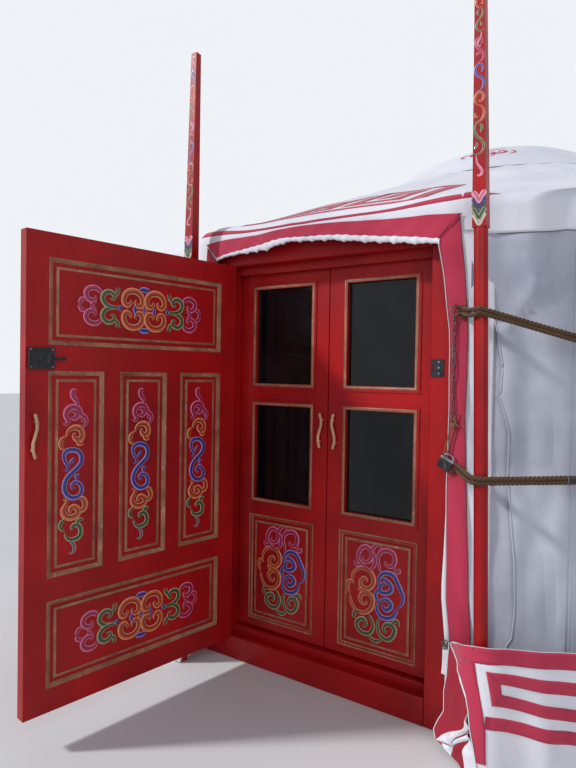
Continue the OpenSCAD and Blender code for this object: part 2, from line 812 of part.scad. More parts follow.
// Angle from the door at which a rope from the point e first meets the pole p
function rope_meet(p, e) = let (d = e - p) -180 - atan2(d.x, d.y) + acos(wrap_r / norm(d));

// Points of the rope round the pole, far enough out for its straight parts to clear the pole
function rope_wrap(p, a, b, z) = let (step = (b - a) / wrap_steps)
    [for (i = [0:wrap_steps]) let (t = a + i * step, q = p + wrap_r / cos(step / 2) * [sin(t), -cos(t)])
        [q.x, q.y, z + 3 - 6 * i / wrap_steps]];

module rope_side(foot, tip, end_x, door_z, wall_z) {
    p = pole_at(foot, tip, door_z);
    start = rope_start(p);
    touch = [rope_r * sin(start), -rope_r * cos(start), wall_z];
    run(concat([[end_x, rope_y, door_z + rope_drop]],
        rope_wrap(p, rope_meet(p, [end_x, rope_y]), start, door_z), [touch]), rope_d / 2);
    translate(touch) sphere(r = rope_d / 2 * 1.02, $fn = 24);
}

module girth_rope(end_x, door_z, wall_z) {
    start = rope_start(pole_at(right_foot, right_tip, door_z));
    end = rope_start(pole_at(left_foot, left_tip, door_z));
    color(rope_colour) {
        rope_side(right_foot, right_tip, end_x, door_z, wall_z);
        mirror([1, 0, 0]) rope_side(left_foot, left_tip, end_x, door_z, wall_z);
        at_angle(start) rotate_extrude(angle = 360 - start - end, $fn = 240)
            translate([rope_r, wall_z]) circle(r = rope_d / 2, $fn = 24);
    }
}

module upper_rope() {
    girth_rope(chain_x + chain_ring_r + chain_bar_r + tie_gap, rope_high_door, rope_high_wall);
}

module lower_rope() {
    girth_rope(chain_x + lock_w / 2 + rope_d / 2 + tie_gap, rope_low_door, rope_low_wall);
}

// Chain: flat oval links, each turned by a quarter from the last
module link(l, w, r) {
    s = l / 2 - w / 2;
    for (e = [-1, 1]) {
        translate([0, 0, e * s]) rotate([90, 0, 0]) rotate([0, 0, e > 0 ? 0 : 180])
            rotate_extrude(angle = 180, $fn = 24) translate([w / 2 - r, 0]) circle(r = r, $fn = 16);
        translate([e * (w / 2 - r), 0, -s]) cylinder(r = r, h = 2 * s, $fn = 16);
    }
}

module ring_and_chain() {
    color(iron) {
        translate([chain_x, chain_y, chain_top]) rotate([90, 0, 0])
            rotate_extrude($fn = 32) translate([chain_ring_r, 0]) circle(r = chain_bar_r, $fn = 16);
        for (i = [0:chain_links - 1]) translate([chain_x, chain_y, first_link_z - i * link_pitch])
            rotate([0, 0, i % 2 == 0 ? 90 : 0]) link(link_l, link_w, link_r);
    }
}

module lock_loop() {
    color(rope_colour) translate([chain_x, chain_y, loop_z]) rotate([0, 0, 90]) link(loop_l, link_w, link_r);
}

module padlock() {
    shackle_rise = 18;
    color(iron) translate([chain_x, chain_y, loop_z - loop_l / 2 + 2 * link_r + link_gap]) {
        drop = shackle_w / 2 - shackle_r + shackle_rise;
        translate([-lock_w / 2, -lock_t / 2, -drop - lock_h]) post(lock_w, lock_t, lock_h, 4);
        translate([0, 0, -drop]) {
            translate([0, 0, shackle_rise]) rotate([90, 0, 0])
                rotate_extrude(angle = 180, $fn = 32)
                    translate([shackle_w / 2, 0]) circle(r = shackle_r, $fn = 16);
            for (s = [-1, 1])
                translate([s * shackle_w / 2, 0, -2]) cylinder(r = shackle_r, h = shackle_rise + 2, $fn = 16);
        }
    }
}

floor_disc();  // floor
sill();
left_jamb();
right_jamb();
lintel();
keeper_plate();
hinge_pins();
outer_door();
outer_door_mouldings();
bolt_case();
bolt();
outer_door_handle();
inner_left_door();
inner_left_glass();
inner_left_handle();
inner_right_door();
inner_right_glass();
inner_right_handle();
lattice_section(0);  // lattice_1
lattice_section(1);  // lattice_2
lattice_section(2);  // lattice_3
lattice_section(3);  // lattice_4
lattice_section(4);  // lattice_5
wall_cover(0);  // wall_cover_1
wall_cover(1);  // wall_cover_2
wall_cover(2);  // wall_cover_3
wall_cover(3);  // wall_cover_4
wall_cover(4);  // wall_cover_5
wall_cover(5);  // wall_cover_6
roof_poles();
crown_ring();
crown_spokes();
crown_post(-1);  // left_crown_post
crown_post(1);  // right_crown_post
roof_cover(0);  // roof_cover_front
roof_cover(1);  // roof_cover_right
roof_cover(2);  // roof_cover_back
roof_cover(3);  // roof_cover_left
crown_cover();
door_flap();
left_skirt_front();
right_skirt_front();
skirt();
left_painted_pole();
right_painted_pole();
upper_rope();
lower_rope();
ring_and_chain();
lock_loop();
padlock();
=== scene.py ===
"""The looks of a round yurt: canvas, ropes, painted doors and their ornament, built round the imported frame.

Every new piece is a surface worked out with numpy: a grid of points over two parameters, or a profile
carried along a path. Lengths are in metres. The door looks along -Y, and phi counts from -Y towards +X.
"""
import math
from functools import partial
import bpy
import numpy as np
from mathutils import Matrix, Vector


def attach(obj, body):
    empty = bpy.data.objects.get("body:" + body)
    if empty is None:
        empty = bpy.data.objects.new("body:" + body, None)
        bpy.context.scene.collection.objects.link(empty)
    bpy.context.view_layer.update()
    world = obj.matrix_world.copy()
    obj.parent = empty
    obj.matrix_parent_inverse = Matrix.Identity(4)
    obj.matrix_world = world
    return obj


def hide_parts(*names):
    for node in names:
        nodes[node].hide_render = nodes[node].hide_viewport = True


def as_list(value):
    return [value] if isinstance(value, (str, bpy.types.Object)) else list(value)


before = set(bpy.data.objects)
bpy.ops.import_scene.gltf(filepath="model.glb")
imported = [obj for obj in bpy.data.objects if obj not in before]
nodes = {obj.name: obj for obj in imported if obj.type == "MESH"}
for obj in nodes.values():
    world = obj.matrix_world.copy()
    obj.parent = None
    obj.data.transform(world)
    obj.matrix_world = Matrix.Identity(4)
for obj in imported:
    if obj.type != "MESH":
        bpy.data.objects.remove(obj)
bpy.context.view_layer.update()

# Sizes that several pieces share. Door frame's face, and the outer leaf's hinge, opening, edges and fields
door_y = -2.825
hinge = np.array([-0.499, -2.835])
door_open = math.radians(99)
leaf_left = 0.009
leaf_face = 0.055
leaf_back = 0.010
field_in = 0.005

# Inner leaves
inner_field_y = -2.740
inner_front_y = -2.745

# Radii of the wall's CAD cover, its canvas, its felt, the girth ropes and the skirt
wall_r = 2.890
canvas_r = wall_r - 0.002
felt_r = 2.851
rope_r = 2.9040
skirt_r = 2.899

# Roof: its cone, the round of its eave, and the seam under it
roof_foot_z = 2.027
roof_foot_r = 2.902
roof_slope = 0.38584
eave_r = 2.900
eave_round = 0.060
eave_turn = math.atan2(1, roof_slope)
seam_z = 1.886

# Crown's cover, and the radius at which its scrolls stand
crown_r = 1.080
dome_r = 0.780
dome_top = 3.150
dome_rise = 0.233
crown_lift = 0.004
scroll_r = 0.745

# Flap: heights of its foot and of both ends of the mitre, and their angles from the door in degrees
flap_low, mitre_low, mitre_top = 0.06, 1.876, 1.961
mitre_in, mitre_out = 10.72, 12.28

# Painted poles: foot and tip of the middle line, length, and where the square part ends
pole_foot = {"left": np.array([-0.645, -2.975]), "right": np.array([0.765, -2.975])}
pole_tip = {"left": np.array([-0.650, -2.925]), "right": np.array([0.690, -2.925])}
pole_l = 2.870
pole_square = 1.880

# Ropes: height at the door and on the wall, and the angle of the ties. Depth of the clip and the chain
rope_levels = {"upper": (1.585, 1.330), "lower": (1.010, 1.040)}
tie_side = 20.2
clip_y = -2.8625
chain_y = -2.8612

# Sign of x on both sides of the door
both_sides = ((1, "right"), (-1, "left"))


def roof_z(r):
    """Height of the roof cloth over the distance r from the middle: a plain cone."""
    return roof_foot_z + (roof_foot_r - r) * roof_slope


round_r = eave_r - eave_round
cone_r = round_r + eave_round * math.cos(eave_turn)
round_z = roof_z(cone_r) - eave_round * math.sin(eave_turn)
round_run = eave_round * eave_turn


# Camera and light

def set_camera():
    """The photograph's viewing angle: a place, two angles and a small roll."""
    place = Vector((1.344, -5.042, 1.366))
    yaw, pitch, roll = math.radians(34.19), math.radians(-1.04), math.radians(0.92)
    level = Vector((-math.sin(yaw), math.cos(yaw), 0))
    right = Vector((math.cos(yaw), math.sin(yaw), 0))
    forward = level * math.cos(pitch) + Vector((0, 0, 1)) * math.sin(pitch)
    up = Vector((0, 0, 1)) * math.cos(pitch) - level * math.sin(pitch)
    side = right * math.cos(roll) + up * math.sin(roll)
    up = up * math.cos(roll) - right * math.sin(roll)
    lens = bpy.data.cameras.new("camera")
    lens.lens = 28.125
    lens.sensor_width = 36
    camera = bpy.data.objects.new("camera", lens)
    turn = Matrix((side, up, -forward)).transposed().to_4x4()
    camera.matrix_world = Matrix.Translation(place) @ turn
    bpy.context.scene.collection.objects.link(camera)
    bpy.context.scene.camera = camera


def lamp(name, kind, energy, place, aim, size):
    """One soft lamp that stands at place and looks at aim."""
    data = bpy.data.lights.new(name, kind)
    data.energy = energy
    if kind == "SUN":
        data.angle = size
    else:
        data.shape = "DISK"
        data.size = size
    thing = bpy.data.objects.new(name, data)
    thing.location = place
    thing.rotation_euler = (Vector(aim) - Vector(place)).to_track_quat("-Z", "Y").to_euler()
    bpy.context.scene.collection.objects.link(thing)


# Node helpers

def colour(red, green, blue):
    """A colour given as screen values from 0 to 255, turned into the linear values that shaders use."""
    c = np.array([red, green, blue]) / 255
    linear = np.where(c > 0.04045, ((c + 0.055) / 1.055) ** 2.4, c / 12.92)
    return (*[float(x) for x in linear], 1.0)


def colours(*tones):
    """Several colours at once."""
    return [colour(*tone) for tone in tones]


class Paint:
    """A material under construction: its node tree, its shader and short calls for the usual nodes."""

    def __init__(self, name, **sockets):
        self.material = bpy.data.materials.new(name)
        self.material.use_nodes = True
        self.tree = self.material.node_tree
        self.shader = self.fill(self.tree.nodes["Principled BSDF"], sockets)
        self.bumps = None
        self.where = self.put("TexCoord")

    def feed(self, socket, value):
        """Links an output to the socket, or sets a constant on it."""
        if isinstance(value, bpy.types.NodeSocket):
            self.tree.links.new(value, socket)
        else:
            socket.default_value = value

    def fill(self, node, sockets):
        """Feeds a node's named sockets. A name's underscores stand for spaces."""
        for socket, value in sockets.items():
            self.feed(node.inputs[socket.replace("_", " ")], value)
        return node

    def put(self, kind, **sockets):
        """A new node with its named sockets fed."""
        return self.fill(self.tree.nodes.new("ShaderNode" + kind), sockets)

    def coords(self, scale=(1, 1, 1), turn=(0, 0, 0), uv=False):
        """Object or UV coordinates, scaled and turned."""
        source = self.where.outputs["UV" if uv else "Object"]
        return self.put("Mapping", Vector=source, Scale=scale, Rotation=turn).outputs["Vector"]

    def noise(self, vector, scale, detail=3.0, roughness=0.55, distortion=0.0):
        """Soft noise between 0 and 1 at the given coordinates."""
        return self.put("TexNoise", Vector=vector, Scale=scale, Detail=detail, Roughness=roughness,
                        Distortion=distortion).outputs["Fac"]

    def ramp(self, value, *stops):
        """A colour ramp. Each stop is a place from 0 to 1 and a colour, or a grey level."""
        node = self.put("ValToRGB", Fac=value)
        marks = node.color_ramp.elements
        while len(marks) < len(stops):
            marks.new(1.0)
        for mark, (place, tone) in zip(marks, stops):
            mark.position = place
            mark.color = tone if isinstance(tone, tuple) else (tone, tone, tone, 1)
        return node.outputs["Color"]

    def mix(self, amount, first, second):
        """The first colour where the amount is 0 and the second where it is 1."""
        node = self.put("Mix")
        node.data_type = "RGBA"
        for k, value in ((0, amount), (6, first), (7, second)):
            self.feed(node.inputs[k], value)
        return node.outputs[2]

    def sum(self, operation, first, second=0.0):
        """One step of arithmetic on one or two values."""
        node = self.put("Math")
        node.operation = operation
        self.feed(node.inputs[0], first)
        self.feed(node.inputs[1], second)
        return node.outputs[0]

    def bump(self, height, distance, strength=1.0):
        """Adds one layer of relief, distance deep, on top of those already there."""
        node = self.put("Bump", Height=height, Distance=distance, Strength=strength)
        if self.bumps is not None:
            self.feed(node.inputs["Normal"], self.bumps)
        self.bumps = node.outputs["Normal"]
        self.feed(self.shader.inputs["Normal"], self.bumps)

    def finish(self, base, rough=None):
        """Sets the base colour, and the roughness where it varies, and gives the material."""
        self.feed(self.shader.inputs["Base Color"], base)
        if rough is not None:
            self.feed(self.shader.inputs["Roughness"], rough)
        return self.material


def gloss_paint(name, *tones):
    """Brushed gloss paint on planed wood: slow drifts of tone, grain and brush marks, dust and small chips.
    The tones are its colour, a darker one and the worn one."""
    tone, dark, worn = colours(*tones)
    p = Paint(name, Roughness=0.4, Coat_Weight=0.05, Coat_Roughness=0.2, Specular_IOR_Level=0.24)
    drift = p.noise(p.coords(), 3.2, 4)
    strokes = p.noise(p.coords((14, 14, 1.4)), 9, 5, 0.6)
    base = p.mix(p.ramp(drift, (0.3, 0.0), (0.72, 1.0)), tone, dark)
    base = p.mix(p.ramp(strokes, (0.35, 0.0), (0.75, 0.35)), base, dark)
    dust = p.ramp(p.noise(p.coords(), 21, 6, 0.7), (0.55, 0.0), (0.8, 0.16))
    base = p.mix(dust, base, worn)
    chips = p.ramp(p.noise(p.coords(), 160, 2, 0.5), (0.735, 0.0), (0.76, 1.0))
    base = p.mix(chips, base, worn)
    p.bump(strokes, 0.0007, 0.6)
    p.bump(p.noise(p.coords((60, 60, 8)), 6, 3), 0.0003, 0.5)
    return p.finish(base, p.ramp(drift, (0.2, 0.34), (0.8, 0.5)))


def woven_cloth(name, *tones, sheen=0.25):
    """Tight cotton canvas: warp and weft as two crossed waves along the cloth, soft creases, faint stains.
    The tones are its colour, its shade and its dirt."""
    tone, shade, dirt = colours(*tones)
    thread = 0.0011
    p = Paint(name, Roughness=0.86, Sheen_Weight=sheen, Sheen_Roughness=0.45)
    uv = p.coords(uv=True)
    threads = []
    for direction in "XY":
        node = p.put("TexWave", Vector=uv, Scale=1 / thread / 20 * math.pi, Distortion=0.6, Detail_Scale=3.0)
        node.bands_direction = direction
        threads.append(node.outputs["Fac"])
    weave = p.sum("MULTIPLY", *threads)
    cloud = p.noise(p.coords(), 2.3, 5, 0.55)
    base = p.mix(p.ramp(cloud, (0.35, 0.0), (0.75, 1.0)), tone, shade)
    slubs = p.ramp(p.noise(p.coords((4, 60, 1), uv=True), 5, 3), (0.5, 0.0), (0.8, 0.22))
    base = p.mix(slubs, base, shade)
    stain = p.noise(p.coords((1, 1, 0.6)), 5.5, 6, 0.68, 0.4)
    base = p.mix(p.ramp(stain, (0.56, 0.0), (0.82, 0.30)), base, dirt)
    specks = p.ramp(p.noise(p.coords(), 95, 2), (0.72, 0.0), (0.78, 0.25))
    base = p.mix(specks, base, dirt)
    p.bump(p.noise(p.coords((1, 1, 0.45)), 9, 4, 0.5, 0.5), 0.006, 0.35)
    p.bump(p.noise(p.coords(), 38, 3, 0.5), 0.0012, 0.4)
    p.bump(weave, 0.0002, 0.5)
    return p.finish(base)


# Mesh helpers

def unit(v):
    """Vectors scaled to length 1 along the last axis."""
    return v / np.maximum(np.linalg.norm(v, axis=-1, keepdims=True), 1e-12)


def smooth(x, low, high):
    """A step from 0 at low to 1 at high with level ends: three squares less two cubes."""
    t = np.clip((x - low) / (high - low), 0, 1)
    return t * t * (3 - 2 * t)


join = np.concatenate


def column(*span, **how):
    """Evenly spaced numbers as a column."""
    return np.linspace(*span, **how)[:, None]


def row(*span):
    """Evenly spaced numbers as a row."""
    return np.linspace(*span)[None]


def full_turn(count):
    """Evenly spaced angles round a circle, from 0 up to just before its end."""
    return np.linspace(0, 2 * math.pi, count, endpoint=False)


def stack(*parts):
    """Points from their coordinates: arrays whose shapes fit one another, joined along a new last axis."""
    return np.stack(np.broadcast_arrays(*parts), -1)


def pairs(a, b):
    """Every value of a with every value of b, as a grid of points (n, m, 2)."""
    return stack(a[:, None], b[None])


def patch(points, uv=None, wrap_u=False, wrap_v=False, cap_u=False, flip=False):
    """A grid of points (n, m, 3) as one patch: its points, its four-sided faces and its flat end faces.
    wrap joins the last row to the first. cap_u closes the open ends of a grid that is
    wrapped the other way. uv is (n, m, 2)."""
    n, m = points.shape[:2]
    i, j = np.meshgrid(np.arange(n - (not wrap_u)), np.arange(m - (not wrap_v)), indexing="ij")
    corners = [(i, j), (i + 1, j), (i + 1, j + 1), (i, j + 1)]
    quads = np.stack([(a % n) * m + b % m for a, b in corners], -1).reshape(-1, 4)
    if uv is None:
        uv = pairs(np.linspace(0, 1, n), np.linspace(0, 1, m))
    if wrap_u:
        uv = join([uv, uv[-1:] * 2 - uv[-2:-1]], 0)
    if wrap_v:
        uv = join([uv, uv[:, -1:] * 2 - uv[:, -2:-1]], 1)
    maps = np.stack([uv[a, b] for a, b in corners], -2).reshape(-1, 4, 2)
    ends = []
    if cap_u:
        ends += [np.arange(m)[::-1], (n - 1) * m + np.arange(m)]
    if flip:
        quads, maps, ends = quads[:, ::-1], maps[:, ::-1], [end[::-1] for end in ends]
    flat = uv[:n, :m].reshape(-1, 2)
    return points.reshape(-1, 3), quads, maps, ends, [flat[end] for end in ends]


def piece(name, patches, material, body="yurt", replaces=(), sharp=None):
    """Joins patches into one mesh object that rides on a body, with its material. sharp is the angle
    above which edges stay."""
    points, loops, totals, maps = [], [], [], []
    start = 0
    for verts, quads, uv, ends, end_maps in patches:
        points.append(verts)
        loops += [(quads + start).ravel()] + [end + start for end in ends]
        totals += [np.full(len(quads), 4)] + [np.array([len(end)]) for end in ends]
        maps += [uv.reshape(-1, 2)] + end_maps
        start += len(verts)
    points, loops = join(points), join(loops)
    totals, maps = join(totals), join(maps)
    mesh = bpy.data.meshes.new(name)
    mesh.vertices.add(len(points))
    mesh.vertices.foreach_set("co", points.astype(np.float32).ravel())
    mesh.loops.add(len(loops))
    mesh.loops.foreach_set("vertex_index", loops.astype(np.int32))
    mesh.polygons.add(len(totals))
    mesh.polygons.foreach_set("loop_start", (np.cumsum(totals) - totals).astype(np.int32))
    mesh.polygons.foreach_set("loop_total", totals.astype(np.int32))
    mesh.polygons.foreach_set("use_smooth", np.ones(len(totals), bool))
    layer = mesh.uv_layers.new(name="along_and_across")
    layer.data.foreach_set("uv", maps.astype(np.float32).ravel())
    mesh.update(calc_edges=True)
    mesh.validate()
    if sharp is not None:
        mesh.set_sharp_from_angle(angle=math.radians(sharp))
    mesh.materials.append(material)
    thing = bpy.data.objects.new(name, mesh)
    bpy.context.scene.collection.objects.link(thing)
    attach(thing, body)
    if replaces:
        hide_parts(*replaces)


def tangents(path, closed=False):
    """Directions along a path (n, 3) by differences between the points on each side."""
    if closed:
        return unit(np.roll(path, -1, 0) - np.roll(path, 1, 0))
    return unit(np.gradient(path, axis=0))


def carried(path, profile, up, closed=False, size=1.0):
    """A closed profile (k, 2) carried along a path (n, 3). Its first number lies along the side direction,
    which is square to the path and to up, and its second along what is square to both. size may change
    along the path."""
    t = tangents(path, closed)
    side = unit(np.cross(t, np.broadcast_to(up, path.shape)))
    rise = np.cross(side, t)
    flat = profile * np.broadcast_to(size, (len(path),))[:, None, None]
    return path[:, None] + flat[..., :1] * side[:, None] + flat[..., 1:] * rise[:, None]


def lengths(path):
    """Distance run along a path up to each of its points."""
    steps = np.linalg.norm(np.diff(path, axis=0), axis=1)
    return join([[0.0], np.cumsum(steps)])


def resampled(path, count):
    """The same path with count evenly spaced points."""
    s = lengths(path)
    at = np.linspace(0, s[-1], count)
    return np.stack([np.interp(at, s, path[:, k]) for k in range(path.shape[1])], -1)


def curve(points, count=60, closed=False):
    """A smooth path through a few points: on each stretch the cubic whose slopes at its two ends are half
    the step between the neighbours on each side."""
    p = np.array(points, float)
    q = join([p[-1:], p, p[:2]]) if closed else join([p[:1], p, p[-1:]])
    t = column(0, 1, 12, endpoint=False)
    a, b, c, d = q[:-3], q[1:-2], q[2:-1], q[3:]
    out = (b[:, None] + 0.5 * t * ((c - a)[:, None]
           + t * ((2 * a - 5 * b + 4 * c - d)[:, None] + t * (3 * (b - c) + d - a)[:, None])))
    out = out.reshape(-1, p.shape[1])
    out = join([out, p[:1] if closed else p[-1:]])
    return resampled(out, count)


def ring(sides, radius=1.0):
    """Points on a circle, for a round profile."""
    a = np.arange(sides) * 2 * math.pi / sides
    return radius * stack(np.cos(a), np.sin(a))


def tube(path, radius, sides=10, closed=False, up=(0, 0, 1), size=1.0):
    """A round tube along a path, with metres along it and turns round it as its map."""
    points = carried(path, ring(sides, radius), np.array(up, float), closed, size)
    return patch(points, pairs(lengths(path), np.arange(sides) / sides), wrap_u=closed, wrap_v=True,
                 cap_u=not closed)


def polar(phi, r, z):
    """Points from angle, distance from the middle and height."""
    return stack(r * np.sin(phi), -r * np.cos(phi), z)


def sheet_patch(front, back, uv=None):
    """A thin closed sheet: its front grid, its back grid turned round, and narrow strips round its rim."""
    parts = [patch(front, uv), patch(back, uv, flip=True)]
    for a, b in ((front[:, 0], back[:, 0]), (front[::-1, -1], back[::-1, -1]),
                 (front[-1], back[-1]), (front[0, ::-1], back[0, ::-1])):
        parts.append(patch(np.stack([a, b], 1), flip=True))
    return parts


def outward(shell):
    """A closed patch with its faces turned outwards, told by the sign of the volume that they enclose."""
    verts, quads, maps, ends, end_maps = shell
    p = verts - verts.mean(0)
    a, b, c, d = (p[quads[:, k]] for k in range(4))
    volume = np.sum(a * np.cross(b, c)) + np.sum(a * np.cross(c, d))
    for end in ends:
        volume += np.sum(p[end[0]] * np.cross(p[end[1:-1]], p[end[2:]]))
    if volume > 0:
        return shell
    return (verts, quads[:, ::-1], maps[:, ::-1], [end[::-1] for end in ends], [m[::-1] for m in end_maps])


def rod(*path, **shape):
    """A tube with its faces turned outwards."""
    return outward(tube(*path, **shape))


def solid(rings, uv=None):
    """Rings of points joined into a closed body with flat ends, its faces turned outwards."""
    return outward(patch(rings, uv, wrap_v=True, cap_u=True))


# Cloth of the wall and the roof

def from_door(phi):
    """Angle away from the middle of the door, the same on both sides, in degrees."""
    return np.degrees(np.abs((phi + math.pi) % (2 * math.pi) - math.pi))


def rope_line(phi, door_z, wall_z):
    """Height of a girth rope over the angle: level on the wall, rising to the poles beside the door."""
    return wall_z + (door_z - wall_z) * np.clip((33 - from_door(phi)) / 19.3, 0, 1)


def near_door(phi):
    """How far the cloth comes forward beside the door, 1 at the jambs and 0 some way along the wall."""
    side = from_door(phi)
    return smooth(side, 6, 12) * (1 - smooth(side, 12.75, 15.2))


def cloth_out(phi, z):
    """How far the wall's canvas stands out. Upright folds are sums of sines of the distance round, which lean
    with height and are pulled flat under both ropes and behind the skirt. One narrow slanting ridge runs down
    to the upper rope on each side of the door, and the canvas comes forward at the door."""
    side = from_door(phi)
    run = np.radians(side) * wall_r
    lean = 0.05 * np.sin(2.9 * z + 0.8)
    folds = (0.46 * np.sin((run + lean) / 0.052 + 0.6 * np.sin(1.7 * z))
             + 0.40 * np.sin((run - 0.6 * lean) / 0.034 + 1.1)
             + 0.26 * np.sin((run + 2 * lean) / 0.0225 + 2.3) + 0.34 * np.sin(run / 0.118 + 0.9 * z))
    held = smooth(z, 0.40, 0.62) * (1 - smooth(z, 1.75, 2.02)) * smooth(side, 12.6, 14)
    for levels in rope_levels.values():
        held = held * (1 - 0.97 * np.exp(-((z - rope_line(phi, *levels)) / 0.070) ** 2))
    ridge_at = np.interp(z, [1.45, 1.52, 1.60, 1.716, 1.86, 1.95], [15.0, 15.25, 16.1, 17.63, 19.0, 19.6])
    ridge = 0.016 * np.exp(-((side - ridge_at) / 0.42) ** 2)
    ridge = ridge * smooth(z, 1.50, 1.60) * (1 - smooth(z, 1.90, 2.04))
    return 0.0120 * folds * held + 0.004 * held + ridge + 0.026 * near_door(phi)


def wall_canvas():
    """The wall's canvas over its felt: the outer surface from the ground to under the roof, the plain inner
    wall back down, carried round from one side of the door to the other."""
    phi = np.radians(np.linspace(12.98, 347.02, 940))
    z = join([np.linspace(0.004, 1.880, 60), np.linspace(1.892, 1.990, 5)])
    under_roof = 0.008 * smooth(z, 1.55, 1.84) * (z < seam_z) - 0.004 * (z > seam_z)
    outer = canvas_r + cloth_out(phi[:, None], z[None]) + under_roof
    inside = np.linspace(1.990, 0.004, 6)
    r = join([outer, np.full((len(phi), 6), felt_r)], 1)
    z = join([z, inside])
    run = join([[0.0], np.cumsum(np.abs(np.diff(z)))])
    return [patch(polar(phi[:, None], r, z), pairs(phi * wall_r, run), wrap_v=True, cap_u=True, flip=True)]


def signed(phi):
    """Angle from the middle of the door in degrees, negative on the left."""
    return np.degrees((phi + math.pi) % (2 * math.pi) - math.pi)


def crimson_top(side):
    """Height of the flap's upper edge over the angle from the door's middle in degrees."""
    return np.interp(side, [-12.4, -10.2, -6.0, -3.5, -0.6, 1.7, 4.3, 7.4, 9.8, 12.2],
                     [1.977, 1.984, 1.983, 1.990, 1.991, 1.987, 1.978, 1.971, 1.968, 1.961])


def crimson_low(side):
    """Height at which the flap's crimson ends over the door and its rolled hem begins."""
    return np.interp(side, [-12.4, -10.9, -8.1, -4.4, -2.9, 1.7, 4.3, 7.6, 10.65, 12.2],
                     [1.900, 1.906, 1.925, 1.945, 1.951, 1.937, 1.921, 1.902, 1.876, 1.870])


def hem_low(side):
    """Height of the rolled hem's lower side over the door."""
    return np.interp(side, [-12.4, -10.9, -9.1, -6.5, -4.9, -2.6, 1.7, 4.4, 7.6, 10.1, 12.2],
                     [1.884, 1.887, 1.904, 1.903, 1.901, 1.926, 1.910, 1.889, 1.868, 1.853, 1.850])


def eave_low(phi):
    """Height of the roof cloth's lower edge: the seam all round, and behind the hem over the door."""
    side = signed(phi)
    return np.where(np.abs(side) < 12.3, hem_low(side) + 0.012, seam_z)


def roof_ripple(phi, s):
    """How far the roof cloth stands out: it sinks between the poles that carry it and puckers at its edge."""
    sag = 0.0022 * (np.cos(phi * 44) - 1) * smooth(s, 0.25, 0.6)
    pucker = (np.sin(phi * 95 + 2 * np.sin(phi * 7)) + 0.6 * np.sin(phi * 163 + 1.3))
    pucker = pucker * np.exp(-((s - 0.03) / 0.05) ** 2)
    drift = 0.004 * np.sin(phi * 9 + 1.5 * s) * np.sin(s * 4.2) * smooth(s, 0.15, 0.5)
    return sag + 0.0012 * pucker * (0.5 + (from_door(phi) < 20)) + drift


def eave_path(phi):
    """The roof cloth's outer surface: upright from its lower edge, round the eave, then up the cone.
    Gives radius, height, the angle of the outward direction and the distance run."""
    low = eave_low(phi)[:, None]
    up = low + (round_z - low) * np.linspace(0, 1, 9, endpoint=False)
    turn = np.broadcast_to(np.linspace(0, eave_turn, 10, endpoint=False), (len(phi), 10))
    cone = np.broadcast_to(np.linspace(cone_r, 0.70, 52), (len(phi), 52))
    r = join([np.full_like(up, eave_r), round_r + eave_round * np.cos(turn), cone], 1)
    z = join([up, round_z + eave_round * np.sin(turn), roof_z(cone)], 1)
    angle = join([np.zeros_like(up), turn, np.full_like(cone, eave_turn)], 1)
    s = join([np.zeros((len(phi), 1)), np.cumsum(np.hypot(np.diff(r), np.diff(z)), 1)], 1)
    return r, z, angle, s


def hanging(s):
    """How far the roof cloth follows the wall's canvas: wholly at its hanging edge, and not on the cone."""
    return 1 - smooth(s, 0.12, 0.30)


def roof_canvas():
    """The roof's felt and canvas as one closed shell: the outer surface up to the crown, and an inner one
    that is thin at the hanging edge and a felt's thickness deep on the cone."""
    phi = full_turn(640)
    r, z, angle, s = eave_path(phi)
    hangs = cloth_out(phi[:, None], z) * hanging(s)
    depth = 0.003 + 0.032 * smooth(angle, 0.3, eave_turn * 0.99)
    outer, inner = [np.stack([r + out * np.cos(angle), z + out * np.sin(angle)])
                    for out in (roof_ripple(phi[:, None], s) + hangs, hangs - depth)]
    r, z = join([outer, inner[..., ::-1]], 2)
    run = join([s[0], s[0, ::-1] + 5])
    return [patch(polar(phi[:, None], r, z), pairs(phi * 2, run), wrap_u=True, wrap_v=True, flip=True)]


def crown_z(r):
    """Height of the crown's cover: the roof's cone at its edge, a low dome in the middle, and between them
    the cubic that meets both with their own slopes."""
    wide = crown_r - dome_r
    t = np.clip((crown_r - r) / wide, 0, 1)
    low, high = roof_z(crown_r), dome_top - dome_rise
    rise_low, rise_high = roof_slope * wide, 2 * dome_rise / dome_r * wide
    blend = (low * (2 * t ** 3 - 3 * t ** 2 + 1) + rise_low * (t ** 3 - 2 * t ** 2 + t)
             + high * (3 * t ** 2 - 2 * t ** 3) + rise_high * (t ** 3 - t ** 2))
    return np.where(r < dome_r, dome_top - dome_rise * (r / dome_r) ** 2, blend)


def crown_ripple(phi, r):
    """How far the crown's canvas stands up along each spoke: eight low waves that fade at both ends."""
    return 0.003 * np.cos(phi * 8) * smooth(r, 0.2, 0.75) * (1 - smooth(r, 0.9, 1.07))


def crown_canvas():
    """The crown's own canvas, as a thin closed shell of rings that shrink to the middle of the dome."""
    phi = full_turn(240)
    r = join([np.linspace(crown_r, 0.6, 26), np.linspace(0.57, 0.004, 22)])
    top = crown_z(r) + crown_lift
    rings, z = join([r, r[::-1]]), join([top, top[::-1] - 0.006])
    points = polar(phi[:, None], rings, z + crown_ripple(phi[:, None], rings))
    uv = pairs(phi * 0.9, join([r, -r[::-1]]))
    return [patch(points, uv, wrap_u=True, wrap_v=True, flip=True)]


# Door flap

